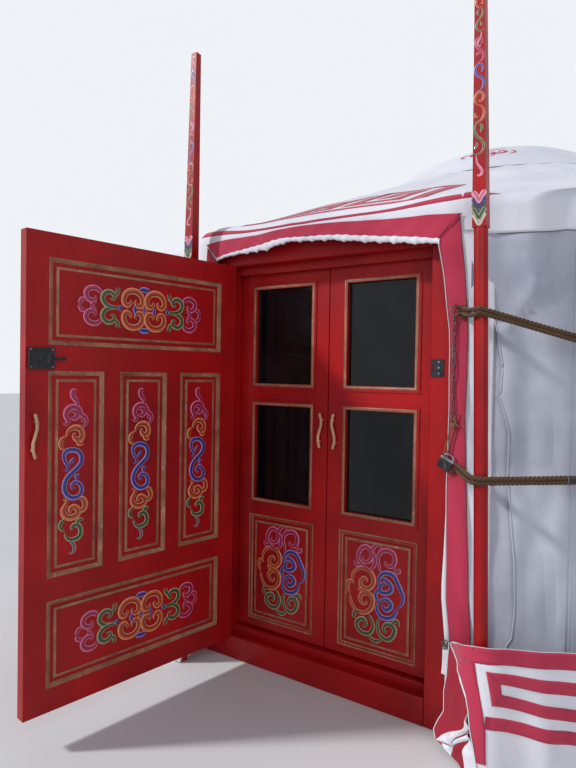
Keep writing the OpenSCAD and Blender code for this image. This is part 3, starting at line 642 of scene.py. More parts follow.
def side_band_edges(z):
    """Left and right edge of the flap's right-hand band over height."""
    inner = np.interp(z, [0.05, 0.376, 0.524, 0.674, 0.9, 1.2, 1.45, 1.537, 1.649, 1.838, 1.875],
                      [0.612, 0.603, 0.588, 0.585, 0.581, 0.585, 0.584, 0.581, 0.566, 0.543, 0.537])
    outer = np.interp(z, [0.05, 0.397, 0.543, 0.690, 0.910, 1.204, 1.498, 1.608, 1.682, 1.830, 1.961],
                      [0.690, 0.681, 0.671, 0.667, 0.656, 0.646, 0.650, 0.646, 0.639, 0.626, 0.614])
    return inner, outer


def front_r(phi):
    """Radius of the roof cloth's hanging edge, which comes forward at the door."""
    return eave_r + 0.026 * near_door(phi)


def flap_y(x, z):
    """How far forward the flap's bands lie: flat before the jambs, back along the wall past them, and out
    over the roof's edge at the top, with shallow creases."""
    plain = -2.8505 + 0.9 * np.maximum(x - 0.642, 0) ** 1.5
    over = -np.sqrt(np.maximum((front_r(np.arctan2(x, 2.85)) + 0.0025) ** 2 - x * x, 1))
    crease = 0.0022 * np.sin(x * 55 + z * 9) * np.sin(z * 5.3 + 1) + 0.0012 * np.sin(z * 31 + x * 70)
    return plain + (over - plain) * smooth(z, 1.72, 1.875) - crease * (1 - smooth(z, 1.80, 1.9)) - 0.001


def side_band(mirror):
    """One upright band of the flap. Its upper end is cut along the mitre, rising to its outer edge."""
    v = column(0, 1, 110)
    u = row(0, 1, 14)
    top = mitre_low + (mitre_top - mitre_low) * u
    z = flap_low + (top - flap_low) * v
    inner, outer = side_band_edges(z)
    x = inner + (outer - inner) * u
    y = flap_y(x, z)
    grids = [stack(x * mirror, y, z), stack(x * mirror, y + 0.002, z), stack(x, z)]
    if mirror > 0:
        grids = [grid[:, ::-1] for grid in grids]
    return sheet_patch(*grids)


def top_band():
    """The flap's level band over the door, on the roof's hanging edge. The mitres cut its ends."""
    v = row(0, 1, 9)
    side = column(-1, 1, 150) * (mitre_in + (mitre_out - mitre_in) * v)
    z = crimson_low(side) + (crimson_top(side) - crimson_low(side)) * v
    phi = np.radians(side)
    crease = 0.0014 * np.sin(phi * 60 + z * 40) + 0.0010 * np.sin(phi * 150 - z * 60)
    r = front_r(phi) + 0.0062 + crease
    grids = polar(phi, r, z), polar(phi, r - 0.002, z), stack(phi * 2.9, z)
    return sheet_patch(*[grid[::-1] for grid in grids])


def flap_hem():
    """The rolled hem over the door: a flat oval carried along the flap's lower edge, pinched into puckers."""
    side = np.linspace(-10.75, 10.70, 260)
    phi = np.radians(side)
    top, low = crimson_low(side) + 0.003, hem_low(side)
    pinch = 1 - 0.20 * np.abs(np.sin(side * 2.1 + 0.7 * np.sin(side))) - 0.10 * np.abs(np.sin(side * 5.3))
    half = (top - low) / 2 * pinch
    r = front_r(phi) + 0.001
    a = np.arange(14) * 2 * math.pi / 14
    grid_r = r[:, None] + 0.0085 * pinch[:, None] * np.cos(a) + 0.0015 * np.sin(side * 7.7 + 2)[:, None]
    grid_z = (top - half)[:, None] + half[:, None] * np.sin(a)
    points = polar(phi[:, None], grid_r, grid_z)
    return [patch(points, pairs(phi * 2.9, a * 0.01), wrap_v=True, cap_u=True, flip=True)]


# Skirt

def skirt_plan(side_sign):
    """The skirt's line on the ground from the jamb round the front corner to the wall, then along the wall.
    The corners are rounded by a smooth curve through close points."""
    if side_sign > 0:
        front = [[0.632, -2.860], [0.650, -2.920], [0.668, -2.972], [0.682, -2.998], [0.708, -3.009],
                 [0.745, -3.009], [0.781, -3.007], [0.815, -2.990]]
        touch = 36.2
        knee = np.array([0.789, -3.005])
    else:
        front = [[0.602, -2.860], [0.600, -2.920], [0.598, -2.972], [0.604, -2.998], [0.622, -3.008],
                 [0.645, -3.009], [0.662, -3.006], [0.695, -2.988]]
        touch = 32.7
        knee = np.array([0.669, -3.005])
    t = math.radians(touch)
    end = skirt_r * np.array([math.sin(t), -math.cos(t)])
    straight = knee + (end - knee) * column(0.06, 1, 12)
    a = np.radians(np.linspace(touch + 2, 180, 60))
    wall = skirt_r * stack(np.sin(a), -np.cos(a))
    path = curve(join([front, straight, wall]), 620)
    return path * [side_sign, 1]


def skirt_top(s):
    """Height of the skirt's upper edge over the distance from the jamb, where it is tied a little lower."""
    return np.interp(s, [0.0, 0.08, 0.12, 0.16, 0.20, 0.24, 0.30, 0.36, 0.45, 0.60, 0.90],
                     [0.377, 0.401, 0.418, 0.435, 0.449, 0.455, 0.455, 0.450, 0.443, 0.436, 0.431])


class Skirt:
    """The skirt of one side: its line, and points on it from the distance along it and the height."""

    def __init__(self, side_sign):
        self.sign = side_sign
        self.line = skirt_plan(side_sign)
        self.s = lengths(self.line)
        t = tangents(self.line)
        self.out = stack(t[:, 1], -t[:, 0]) * side_sign
        self.shift = 0.05 * (side_sign < 0)
        self.corner = 0.262 - self.shift
        self.pitch = (self.s[-1] - self.corner - 0.004) / 7

    def edge(self, z, which):
        """Distance along the skirt of its corner band's left or right edge, which slant with height."""
        table = ([0.236, 0.216, 0.205, 0.199, 0.186, 0.158, 0.106, 0.052, 0.050],
                 [0.262, 0.256, 0.255, 0.247, 0.235, 0.225, 0.218, 0.212, 0.205])[which]
        return np.interp(z, [0.0, 0.10, 0.15, 0.20, 0.25, 0.30, 0.34, 0.38, 0.42], table) - self.shift

    def brackets(self):
        """Left and right ends of the seven pairs of square brackets along the skirt."""
        return [(self.corner + 0.014 + k * self.pitch, self.corner + (k + 1) * self.pitch - 0.060)
                for k in range(7)]

    def at(self, s, z, lift=0.0):
        """Points of the outer surface. It waves in and out along its length, more at its foot, with slanting
        tension folds that start at the front corner."""
        wave = (0.006 * np.sin(s * 17 + 2.4 * z) + 0.0035 * np.sin(s * 41 + 5 * z + 1)) * smooth(s, 0.2, 0.5)
        wave = wave * (0.35 + 1.1 * (1 - smooth(z, 0.05, 0.42)))
        pull = 0.0045 * np.sin(26 * (z + 0.45 * s) + 0.5) * np.exp(-((s - 0.36) / 0.22) ** 2)
        pull = pull * (1 - smooth(z, 0.36, 0.45))
        fan = np.arctan2(0.47 - z, s - 0.05)
        far = np.hypot(0.47 - z, s - 0.05)
        pull = pull + 0.0022 * np.sin(21 * fan) * smooth(far, 0.08, 0.20) * np.exp(-(far / 0.42) ** 2)
        out = 0.004 + wave + pull + lift
        x = np.interp(s, self.s, self.line[:, 0]) + np.interp(s, self.s, self.out[:, 0]) * out
        y = np.interp(s, self.s, self.line[:, 1]) + np.interp(s, self.s, self.out[:, 1]) * out
        taut = smooth(z, 0.02, 0.42) * np.sin(np.pi * np.clip(s / 0.21, 0, 1)) ** 1.2
        x, y = x + 0.008 * self.sign * taut, y + 0.030 * taut
        tip = smooth(z, 0.28, 0.40) * (1 - smooth(s, 0.03, 0.15))
        x = x - 0.024 * self.sign * tip
        return stack(x, y, z)

    def shell(self):
        """The closed sheet from the ground to the upper edge. Its near end follows the corner's slant."""
        v = row(0, 1, 32)
        start = self.edge(0.43 * v, 0)
        s = start + (self.s[-1] - start) * column(0, 1, 560)
        z = 0.004 + (skirt_top(s) - 0.004) * v
        grids = self.at(s, z), self.at(s, z, -0.003), stack(s, z)
        return sheet_patch(*[grid[::self.sign] for grid in grids])


# Girth ropes

def rope_route(which_rope, end_x, start_right, meet_left):
    """The line of one girth rope: from its end on the right of the door round the back of the pole, straight
    to the wall, round it, and the same on the left. Angles are in degrees."""
    door_z, wall_z = rope_levels[which_rope]
    halves = []
    for sign, start, meet in ((1, start_right, -58.7), (-1, start_right - 2.6, meet_left)):
        which = "right" if sign > 0 else "left"
        pole = (pole_foot[which] + (pole_tip[which] - pole_foot[which]) * door_z / pole_l) * [sign, 1]
        a = np.radians(np.linspace(meet, start, 7))
        round_pole = pole + 0.0380 * stack(np.sin(a), -np.cos(a))
        a = np.radians(np.linspace(start, 180, 48))
        wall = rope_r * stack(np.sin(a), -np.cos(a))
        first = np.array([end_x, -2.8640])
        plan = join([[first], [first * 0.5 + round_pole[0] * 0.5], round_pole,
                     round_pole[-1] + (wall[0] - round_pole[-1]) * np.array([[0.33], [0.67]])])
        z = join([[door_z + 0.020, door_z + 0.010], np.full(7, door_z),
                  door_z + (wall_z - door_z) * np.array([0.35, 0.69]), np.full(48, wall_z)])
        halves.append(np.column_stack([join([plan, wall]) * [sign, 1], z]))
    return curve(join([halves[0], halves[1][-2::-1]]), 2600)


def strands(path, count, orbit, radius, pitch, sides=6):
    """Strands twisted round a line: circles whose centres go round it at an even rate."""
    s = lengths(path)
    t = tangents(path)
    side = unit(np.cross(t, [0, 0, 1.0]))
    rise = np.cross(side, t)
    out = []
    for k in range(count):
        a = (s / pitch + k / count) * 2 * math.pi
        centre = path + orbit * (np.cos(a)[:, None] * side + np.sin(a)[:, None] * rise)
        out.append(tube(centre, radius, sides))
    return out


# Painted ornament

def at_leaf(u, z, out, face=1, sunk=0.0):
    """Points on the open outer leaf: u from its hinge edge, height z, and out from its carved face, or from
    a field sunk below that. face is 1 for the side that looks at the doorway and -1 for the other side."""
    x, out = leaf_left + u, out - sunk
    y = leaf_face + out if face > 0 else leaf_back - out
    c, s = math.cos(-door_open), math.sin(-door_open)
    return stack(hinge[0] + x * c - y * s, hinge[1] + x * s + y * c, z)


def at_inner(sign, x, z, out, base=inner_field_y):
    """Points on an inner leaf's front, out from its raised field, mirrored for the left leaf."""
    return stack(sign * x, base - out, z)


def coil(x, z, outer, inner, start, sweep, wide, thin):
    """A spiral's points with widths. Its outer edge shrinks evenly from one radius to the other while the
    angle runs from start over sweep degrees, and the band narrows evenly."""
    t = np.linspace(0, 1, 22)
    a = np.radians(start + sweep * t)
    w = wide + (thin - wide) * t * t
    r = outer + (inner - outer) * t - w / 2
    return stack(x + r * np.cos(a), z + r * np.sin(a), w)


def band(points, *widths):
    """Points (x, z) with widths that change evenly through the given ones along the band."""
    points = np.array(points, float)
    t = np.linspace(0, 1, len(points))
    return np.column_stack([points, np.interp(t, np.linspace(0, 1, len(widths)), widths)])


def mirrored(strokes, x=1, z=1):
    """The same strokes turned over about x = 0 or z = 0."""
    return [stroke * [x, z, 1] for stroke in strokes]


def moved(strokes, x, z):
    """The same strokes set down at a place."""
    return [stroke + [x, z, 0] for stroke in strokes]


ribbon_edge = np.array([[-1, -0.5], [-0.76, 0.70], [-0.34, 1.0], [0.34, 1.0], [0.76, 0.70], [1, -0.5]])


def ribbons(strokes, place, height=0.0007):
    """Bands of paint with body. Each is a low domed profile carried along its middle line, as wide as the
    line says, and narrowed to a half circle at both ends. place turns (x, z, out) into points."""
    shells = []
    for k, stroke in enumerate(strokes):
        path = curve(stroke, 36)
        along = lengths(path[:, :2])
        half = np.maximum(path[:, 2] / 2, 0.0004)
        short = np.minimum(along, along[-1] - along) / np.maximum(half, 1e-6)
        half = half * np.sqrt(np.clip(1 - (1 - np.minimum(short, 1)) ** 2, 0.02, 1))
        t = unit(np.gradient(path[:, :2], axis=0))
        a = path[:, :1] - t[:, 1:] * half[:, None] * ribbon_edge[:, 0]
        b = path[:, 1:2] + t[:, :1] * half[:, None] * ribbon_edge[:, 0]
        out = height * ribbon_edge[:, 1] + 0.00006 * (k % 9)
        turning = np.sum(t[:-1, 0] * t[1:, 1] - t[:-1, 1] * t[1:, 0])
        across = (1 + ribbon_edge[:, 0] * (1 if turning > 0 else -1)) / 2
        shells.append(solid(place(a, b, out), pairs(along, across)))
    return shells


def rosette():
    """The long panels' ornament by colour, one quarter drawn and mirrored: four arches with ends curled
    inwards round a small ring, lenses between them, then spirals, then a lobed flower at each end."""
    arch = np.array([[-0.30, -0.02], [-0.18, -0.22], [-0.32, -0.50], [-0.60, -0.60], [-0.84, -0.30],
                     [-0.80, 0.26], [-0.46, 0.68], [0, 0.80]])
    arch = join([arch, arch[-2::-1] * [-1, 1]])
    widths = (0.006, 0.017, 0.024, 0.027, 0.028, 0.027, 0.024, 0.017, 0.006)
    quarter = {
        "orange": [band(arch * 0.0505 + [0.053, 0.046], *widths)],
        "blue": [],
        "green": [band([[0.110, 0.010], [0.134, 0.002], [0.162, 0.004], [0.184, 0.022], [0.188, 0.048],
                        [0.172, 0.068], [0.150, 0.068], [0.137, 0.052], [0.143, 0.037], [0.158, 0.038]],
                       0.004, 0.020, 0.023, 0.022, 0.018, 0.005),
                  band([[0.136, 0.058], [0.124, 0.066], [0.117, 0.080], [0.111, 0.094]],
                       0.012, 0.016, 0.010, 0.003),
                  band([[0.124, 0.070], [0.130, 0.084], [0.122, 0.096]], 0.008, 0.003)],
        "pink": [band([[0.196, 0.058], [0.206, 0.074], [0.228, 0.080], [0.250, 0.070], [0.258, 0.050],
                       [0.249, 0.029], [0.230, 0.022], [0.217, 0.034], [0.225, 0.046]],
                      0.018, 0.024, 0.024, 0.020, 0.005),
                 band([[0.260, 0.026], [0.277, 0.022], [0.283, 0.0]], 0.016, 0.020),
                 band([[0.212, 0.020], [0.226, 0.010], [0.240, 0.0]], 0.006, 0.022)],
    }
    turned = [(1, 1), (-1, 1), (1, -1), (-1, -1)]
    out = {name: [s for x, z in turned for s in mirrored(strokes, x, z)] for name, strokes in quarter.items()}
    turn = np.linspace(0, 2 * math.pi, 13)
    out["blue"] += [band(stack(0.0045 * np.cos(turn), 0.0045 * np.sin(turn)), 0.008)]
    out["orange"] += [band(stack(0.013 * np.cos(turn), 0.013 * np.sin(turn)), 0.005)]
    for x, z in ((1, 1), (-1, -1)):
        out["blue"] += mirrored([band([[0.036, -0.022], [0.045, -0.010], [0.047, 0.004], [0.038, 0.022]],
                                      0.004, 0.015, 0.015, 0.004),
                                 band([[0.106, -0.014], [0.112, 0.0], [0.106, 0.014]], 0.005, 0.022, 0.005)],
                                x, 1)
        out["blue"] += mirrored([band([[-0.026, 0.093], [-0.012, 0.098], [0.012, 0.098], [0.026, 0.093]],
                                      0.005, 0.022, 0.022, 0.005)], 1, z)
    return out


upright_strokes = {
    "pink": [(-3, 306, 13, 303, 13, 284, -2, 264, -5, 246),
             (54, 189, 39, 181, 31, 192, 41, 212, 36, 233, 16, 245, -9, 238, -20, 216, -37, 203,
              -42, 186, -32, 171, -17, 167),
             (25, 230, 2, 228, -5, 211, 9, 201, 21, 207),
             (-19, 203, -28, 192, -22, 183)],
    "orange": [(36, 134, 32, 153, 12, 167, -13, 163, -25, 143, -20, 122, 0, 123, 10, 137, 2, 147),
               (-1, 121, -12, 105, -32, 104),
               (39, 137, 57, 123, 59, 100, 42, 85),
               (53, -98, 32, -101, 40, -121, 49, -138, 42, -158, 20, -170, -6, -164, -13, -147,
                3, -131, 20, -133, 22, -145, 12, -148),
               (-12, -145, -30, -148, -40, -130, -30, -105, -11, -103)],
    "blue": [(52, 11, 38, 8, 28, 20, 40, 38, 47, 59, 42, 78, 17, 85, -11, 76, -23, 53, -18, 28,
              8, 4, 34, -19, 45, -47, 40, -75, 15, -96, -14, -93, -26, -71, -16, -46, 6, -38,
              18, -50, 11, -64, 2, -62),
             (5, 55, 16, 42, 24, 30),
             (-6, -34, -3, -18, -18, -11)],
    "green": [(38, -171, 56, -182, 58, -203, 40, -219),
              (41, -223, 31, -246, 7, -254, -18, -245, -22, -219, -10, -202, 9, -201, 15, -211,
               7, -215),
              (-8, -199, -9, -186, -24, -183, -30, -190)],
    "grey": [(21, -254, 8, -270, 2, -289, 10, -303, 26, -301)],
}
upright_widths = {"pink": (0.010, 0.026, 0.022, 0.008), "orange": (0.009, 0.026, 0.026, 0.009),
                  "blue": (0.007, 0.021, 0.022, 0.021, 0.008), "green": (0.009, 0.023, 0.021, 0.007),
                  "grey": (0.012, 0.016, 0.005)}


def stroke_of(line, widths):
    """A band from a line's numbers, x and z in turn in millimetres."""
    return band(np.array(line, float).reshape(-1, 2) / 1000, *widths)


def upright_ornament():
    """The upright panels' ornament: one tall stem of scrolls. Its short lines are narrower."""
    return {tone: [stroke_of(line, np.array(upright_widths[tone]) * (1.0 if len(line) > 8 else 0.72))
                   for line in lines] for tone, lines in upright_strokes.items()}


inner_strokes = {
    "pink": [(216, 532, 235, 556, 238, 588, 223, 616, 247, 648, 273, 635),
             (181, 553, 152, 545, 141, 563),
             (216, 534, 188, 545, 163, 566, 160, 589, 174, 620, 197, 631, 219, 618, 223, 590, 209, 568, 187,
              566, 179, 579, 191, 590),
             (264, 534, 260, 556, 252, 590, 266, 620, 292, 631, 319, 626, 331, 600, 323, 574, 302, 565, 286,
              577, 293, 588),
             (324, 576, 335, 550, 350, 553, 348, 567)],
    "orange": [(133, 473, 139, 510, 175, 537, 215, 530, 234, 505, 232, 474, 206, 451, 178, 458, 173, 478, 189,
                497, 203, 491, 202, 478),
               (123, 412, 130, 378, 156, 348, 196, 347, 226, 374, 233, 406, 222, 427, 201, 435, 179, 423, 171,
                402, 185, 383, 203, 391, 201, 403),
               (142, 464, 120, 470, 111, 447, 122, 414),
               (163, 453, 177, 441, 229, 437)],
    "blue": [(262, 469, 258, 498, 268, 524, 294, 537, 326, 531, 342, 507, 359, 475, 369, 452, 363, 417, 341,
              401),
             (270, 510, 290, 508, 313, 490, 317, 471, 299, 453, 268, 451, 264, 469, 279, 490, 296, 484),
             (262, 466, 245, 440, 250, 417, 266, 412),
             (344, 396, 329, 363, 301, 347, 271, 349, 252, 374, 259, 405),
             (259, 405, 291, 425, 315, 412, 313, 394, 295, 381, 279, 389, 286, 401)],
    "green": [(214, 344, 232, 318, 235, 289, 215, 261, 182, 260, 159, 279, 162, 304, 186, 320, 202, 309, 199,
               290, 184, 287),
              (171, 339, 150, 342, 143, 322, 155, 318),
              (265, 341, 256, 307, 268, 271, 300, 257, 325, 276, 335, 307, 321, 322, 299, 322, 284, 304, 289,
               287, 305, 292),
              (323, 325, 331, 341, 346, 344, 355, 325),
              (216, 256, 233, 241, 256, 239, 278, 256)],
}


def inner_ornament():
    """The inner doors' ornament, in absolute millimetres from the doorway's middle and the ground."""
    widths = np.array([0.012, 0.0235, 0.0225, 0.009])
    return {tone: [stroke_of(line, widths * (1 if len(line) > 10 else 0.8)) for line in lines]
            for tone, lines in inner_strokes.items()}


def at_pole(which, x, z, out):
    """Points on a painted pole's front: x across from its leaning middle line, z up, out from its face."""
    k = z / pole_l
    foot, tip = pole_foot[which], pole_tip[which]
    half = 0.024 - 0.008 * np.maximum(z - pole_square, 0) / (pole_l - pole_square)
    sign = 1 if which == "right" else -1
    return stack(foot[0] + (tip[0] - foot[0]) * k + sign * x,
                 foot[1] + (tip[1] - foot[1]) * k - half - out, z)


def chevrons():
    """Bands that point down on a pole where its square part begins, one under the other."""
    out = []
    for tone, top, wide in (("pale_pink", 2.004, 0.022), ("navy", 1.983, 0.020), ("dark_green", 1.963, 0.018),
                            ("green", 1.945, 0.018), ("pale", 1.925, 0.014)):
        out.append((tone, band([[-0.0215, top], [-0.011, top - 0.017], [0, top - 0.036], [0.011, top - 0.017],
                                [0.0215, top]], wide)))
    return out


pole_strokes = {
    "pale_pink": [(-10, 2127, -8, 2104, 0, 2088, 9, 2073, 8, 2060, -2, 2056, -6, 2062)],
    "green": [(-19, 2134, -6, 2130, 9, 2138, 16, 2156, 8, 2178, -5, 2190, -13, 2204, -16, 2222, -10, 2238, 3,
               2242),
              (-18, 2150, -9, 2160, -8, 2174), (4, 2204, 9, 2222, 2, 2238)],
    "orange": [(-16, 2245, 0, 2244, 13, 2256, 16, 2276, 8, 2294, -3, 2300), (-14, 2276, -12, 2262, -3, 2262),
               (-3, 2300, -12, 2310, -15, 2326, -8, 2340, 3, 2344, 13, 2334, 12, 2318, 3, 2312, -2, 2320)],
    "blue": [(-14, 2352, 0, 2350, 12, 2360, 15, 2380, 6, 2396, -6, 2404, -14, 2420, -10, 2438, 4, 2442, 12,
              2430, 8, 2416, 0, 2418)],
    "pink": [(-12, 2452, 2, 2450, 13, 2462, 13, 2480, 2, 2494, -8, 2504, -13, 2520, -6, 2534, 6, 2532, 10,
              2518, 2, 2510), (-10, 2474, -4, 2482, 3, 2474)],
}


def pole_ornament():
    """The scrolls of a painted pole's front, and the same ones again higher up, smaller."""
    out = {"pale_pink": [], "green": [], "orange": [], "blue": [], "pink": []}
    for tone, lines in pole_strokes.items():
        for line in lines:
            line = np.array(line, float).reshape(-1, 2) / 1000
            out[tone].append(band(line, 0.004, 0.010, 0.010, 0.004))
            high = line * [-0.72, 0.72] + [0, 2.556 - 0.72 * 2.127]
            if high[:, 1].max() < 2.85:
                out[tone].append(band(high, 0.003, 0.008, 0.008, 0.003))
    return out


# Mouldings

def moulding(left, right, low, high, profile, place):
    """A mitred frame: its profile runs round a rectangle. The profile's first number goes inwards from the
    rectangle's edge and its second outwards from the face."""
    profile = np.array(profile) / 1000
    inward, out = profile.T
    a = np.stack([left + inward, right - inward, right - inward, left + inward])
    b = np.stack([low + inward, low + inward, high - inward, high - inward])
    run = np.array([0, right - left, right - left + high - low, 2 * (right - left) + high - low])
    uv = pairs(run, np.arange(len(profile)) / len(profile))
    return outward(patch(place(a, b, out), uv, wrap_u=True, wrap_v=True))


bevel = [(0, -9), (0, 0.9), (0.8, 1.8), (2.4, 1.9), (5.0, 0.8), (9.0, -1.2), (13.0, -3.1), (15.6, -4.3),
         (16.6, -5.6), (16.8, -9)]
bead = [(30, -9), (30.3, -4.9), (33.4, -4.0), (37.2, -2.7), (38.6, -2.4), (39.6, -2.9), (40.2, -4.6),
        (40.4, -9)]
leaf_panels = [(0.090, 0.897, 0.200, 0.520), (0.090, 0.897, 1.455, 1.770), (0.090, 0.312, 0.605, 1.360),
               (0.383, 0.604, 0.605, 1.360), (0.675, 0.897, 0.605, 1.360)]
pane_bead = [(11, 2.0), (11, 4.6), (12.6, 6.0), (15.4, 6.6), (18.0, 6.2), (19.6, 5.0), (21.4, 4.6),
             (24.2, 3.4), (24.2, 2.0)]
inner_x = (0.0665, 0.428)
inner_frames = [(0.182, 0.687, bevel), (0.182, 0.687, bead), (0.742, 1.236, pane_bead),
                (1.291, 1.785, pane_bead)]


# Cloth bands sewn on

def slab(front, back, uv):
    """A thin closed strip from its outer and inner grids."""
    return solid(join([front, back[:, ::-1]], 1), join([uv, uv[:, ::-1]], 1))


def mitred(corners, width, step=0.025, across=3):
    """A strip of even width along straight runs, with mitred corners: there the offset to each side is the
    sum of both runs' normals over one plus their product. Gives a grid of flat points (n, across, 2)."""
    p = np.array(corners, float)
    d = unit(np.diff(p, axis=0))
    normal = stack(-d[:, 1], d[:, 0])
    before, after = join([normal[:1], normal]), join([normal, normal[-1:]])
    off = (before + after) / (1 + np.sum(before * after, -1, keepdims=True)) * width / 2
    legs = np.maximum(np.ceil(np.linalg.norm(np.diff(p, axis=0), axis=1) / step), 1).astype(int)
    where = join([k + np.arange(n) / n for k, n in enumerate(legs)] + [[len(legs)]])
    rows = [np.stack([np.interp(where, np.arange(len(p)), side[:, k]) for k in (0, 1)], -1)
            for side in (p + off, p - off)]
    v = np.linspace(0, 1, across)[None, :, None]
    return rows[0][:, None] * (1 - v) + rows[1][:, None] * v


def sewn(grids, place):
    """Bands of cloth laid on a surface: place turns flat points and a height over the surface into space."""
    return [slab(*[place(g[..., 0], g[..., 1], height) for height in (0.0016, -0.0012)], g) for g in grids]


def on_roof(phi, run, above):
    """Points on the roof cloth from the angle and the distance run up from where the eave's round begins:
    below it the hanging edge, then the round, then the cone."""
    turn = np.clip(run / eave_round, 0, eave_turn)
    past = np.maximum(run - round_run, 0)
    down = np.minimum(run, 0)
    r = round_r + eave_round * np.cos(turn) - past * math.sin(eave_turn)
    z = round_z + down + eave_round * np.sin(turn) + past * math.cos(eave_turn)
    s = run + round_z - eave_low(phi)
    out = roof_ripple(phi, s) + cloth_out(phi, z) * hanging(s) + above
    return polar(phi, r + out * np.cos(turn), z + out * np.sin(turn))


def over_door(a, b, above):
    """Points on the cone from a flat plan: a across, and b inwards from the eave."""
    deep = cone_r - b
    r = np.hypot(a, deep)
    return on_roof(np.arctan2(a, deep), round_run + (cone_r - r) / math.sin(eave_turn), above)


def roof_stripe():
    """The narrow band above the door along the eave's round, drawn out to a point at both ends."""
    side = np.linspace(-14.84, 14.84, 220)
    low, top = [np.interp(np.abs(side), [0, 5, 8.6, 11.3, 13.3, 14.84], heights)[:, None]
                for heights in ([0.0135, 0.0143, 0.0175, 0.0200, 0.0255, 0.0535],
                                [0.0240, 0.0249, 0.0316, 0.0400, 0.0452, 0.0545])]
    return stack(np.radians(side)[:, None], low + (top - low) * np.linspace(0, 1, 4))


key_line = (0.0, 0.055, 0.395, 0.055, 0.395, 0.600, 0.060, 0.600, 0.060, 0.185, 0.275, 0.185, 0.275, 0.470,
            0.165, 0.470, 0.165, 0.300)


def roof_key():
    """The key pattern over the door: a square spiral of one broad band, and its mirror image."""
    corners = np.array(key_line).reshape(-1, 2)
    return [mitred(corners * [sign, 1], 0.066) for sign in (1, -1)]


def on_crown(middle):
    """Gives the placing function for an ornament on the crown's cover at one angle from the door."""
    def place(a, b, out):
        r = scroll_r + b
        phi = math.radians(middle) + a / scroll_r
        return polar(phi, r, crown_z(r) + crown_lift + crown_ripple(phi, r) + out)
    return place


def crown_scroll():
    """A cloud scroll: two coils that open towards the eave, a rising stem with leaves between them, tails."""
    half = [coil(0.085, 0.0, 0.072, 0.012, 190, -430, 0.034, 0.010),
            band([[0.02, 0.10], [0.045, 0.07], [0.03, 0.045], [0.0, 0.03]], 0.008, 0.022, 0.022),
            band([[0.150, -0.02], [0.175, 0.015], [0.165, 0.05], [0.135, 0.065]], 0.010, 0.024, 0.006),
            band([[0.0, -0.055], [0.04, -0.085], [0.085, -0.09], [0.12, -0.11]], 0.020, 0.020, 0.004)]
    return half + mirrored(half, -1)


# Wall details

def on_wall(phi, z, above):
    """Points on the wall's canvas, above it by a given distance."""
    under_roof = 0.008 * smooth(z, 1.55, 1.84) * (z < seam_z)
    return polar(phi, canvas_r + cloth_out(phi, z) + under_roof + above, z)


def free_edge(z):
    """Angle of the overlapping panel's free edge over height, in degrees from the door's middle."""
    high = [0.05, 0.378, 0.411, 0.519, 0.69, 1.004, 1.097, 1.170, 1.233, 1.291, 1.345, 1.408, 1.47, 1.60]
    side = [15.6, 15.87, 16.26, 16.42, 16.3, 15.73, 15.75, 15.74, 15.42, 15.08, 15.18, 15.22, 15.02, 14.55]
    return np.interp(z, high, side)


def overlap_panel(sign):
    """The canvas panel that laps over the wall's cloth beside the pole. It stands proud at its free edge and
    comes back to the wall at its sewn edge, with soft upright folds of its own."""
    z = column(0.05, 1.572, 110)
    u = row(0, 1, 26)
    side = free_edge(z) + (19.9 - free_edge(z)) * u
    z = np.minimum(z, 1.585 - 0.0132 * (side - 13.7))
    phi = np.radians(side)
    fold = 0.004 * np.sin(u * 9 + 3 * z) * np.sin(z * 6.1 + 1)
    fold = fold * smooth(u, 0.1, 0.4) * (1 - smooth(u, 0.75, 1))
    proud = 0.0185 * (1 - smooth(u, 0.0, 0.42)) * smooth(z, 0.3, 0.6) * (1 - smooth(z, 1.53, 1.575))
    proud = 0.0022 + proud + fold
    front, back = on_wall(phi, z, proud), on_wall(phi, z, proud - 0.0016)
    shells = [slab(front * [sign, 1, 1], back * [sign, 1, 1], stack(phi * wall_r, z))]
    shells.append(rod(front[:, 0] * [sign, 1, 1], 0.0030, 8))
    return shells


def wall_tape(side):
    """A narrow upright tape sewn on the wall at one angle in degrees, domed across by a fourth power."""
    z = np.linspace(0.02, 1.880, 90)
    path = stack(np.full(90, math.radians(side)), z)
    t = unit(np.gradient(path * [wall_r, 1], axis=0))
    normal = stack(-t[:, 1] / wall_r, t[:, 0])
    offset = np.linspace(-0.5, 0.5, 5)[None, :, None] * 0.016
    phi, high = np.moveaxis(path[:, None] + normal[:, None] * offset, -1, 0)
    dome = 0.0008 * (1 - (row(-1, 1, 5) ** 4) * 0.8)
    return slab(on_wall(phi, high, dome), on_wall(phi, high, -0.002),
                pairs(lengths(path * [wall_r, 1]), np.linspace(0, 1, 5)))


def seams():
    """Sewn seams of the wall, upright where its panels join."""
    return [wall_tape(side) for side in (20.0, -20.0, 52, -52, 84, -84, 116, -116, 148, -148, 180)]


# Flap and skirt details

def flap_edge(mirror):
    """The line just over a flap band's outer edge, from its foot to the mitre."""
    z = np.linspace(0.07, 1.955, 120)
    x = side_band_edges(z)[1]
    return stack(x * mirror, flap_y(x, z) - 0.001, z)


def strip(mirror, x, front_y, back_y, z):
    """A thin closed strip of cloth between two depths, or its mirror image."""
    return slab(stack(x * mirror, front_y, z), stack(x * mirror, back_y, z), stack(x, z))


def white_edge(mirror):
    """The white binding beside the flap's inner edge: a thin roll above that widens to a flat strip below."""
    z = np.linspace(0.07, 1.868, 120)
    wide = 0.0035 + 0.0150 * (1 - smooth(z, 0.50, 0.90))
    x = side_band_edges(z)[0]
    u = row(0, 1, 5)
    grid_x = x[:, None] + 0.001 - wide[:, None] * u
    z = z[:, None] + 0 * u
    out = 0.0030 * np.sin(np.pi * u) + 0.0008
    y = flap_y(grid_x, z)
    return strip(mirror, grid_x, y - out, y + 0.0015, z)


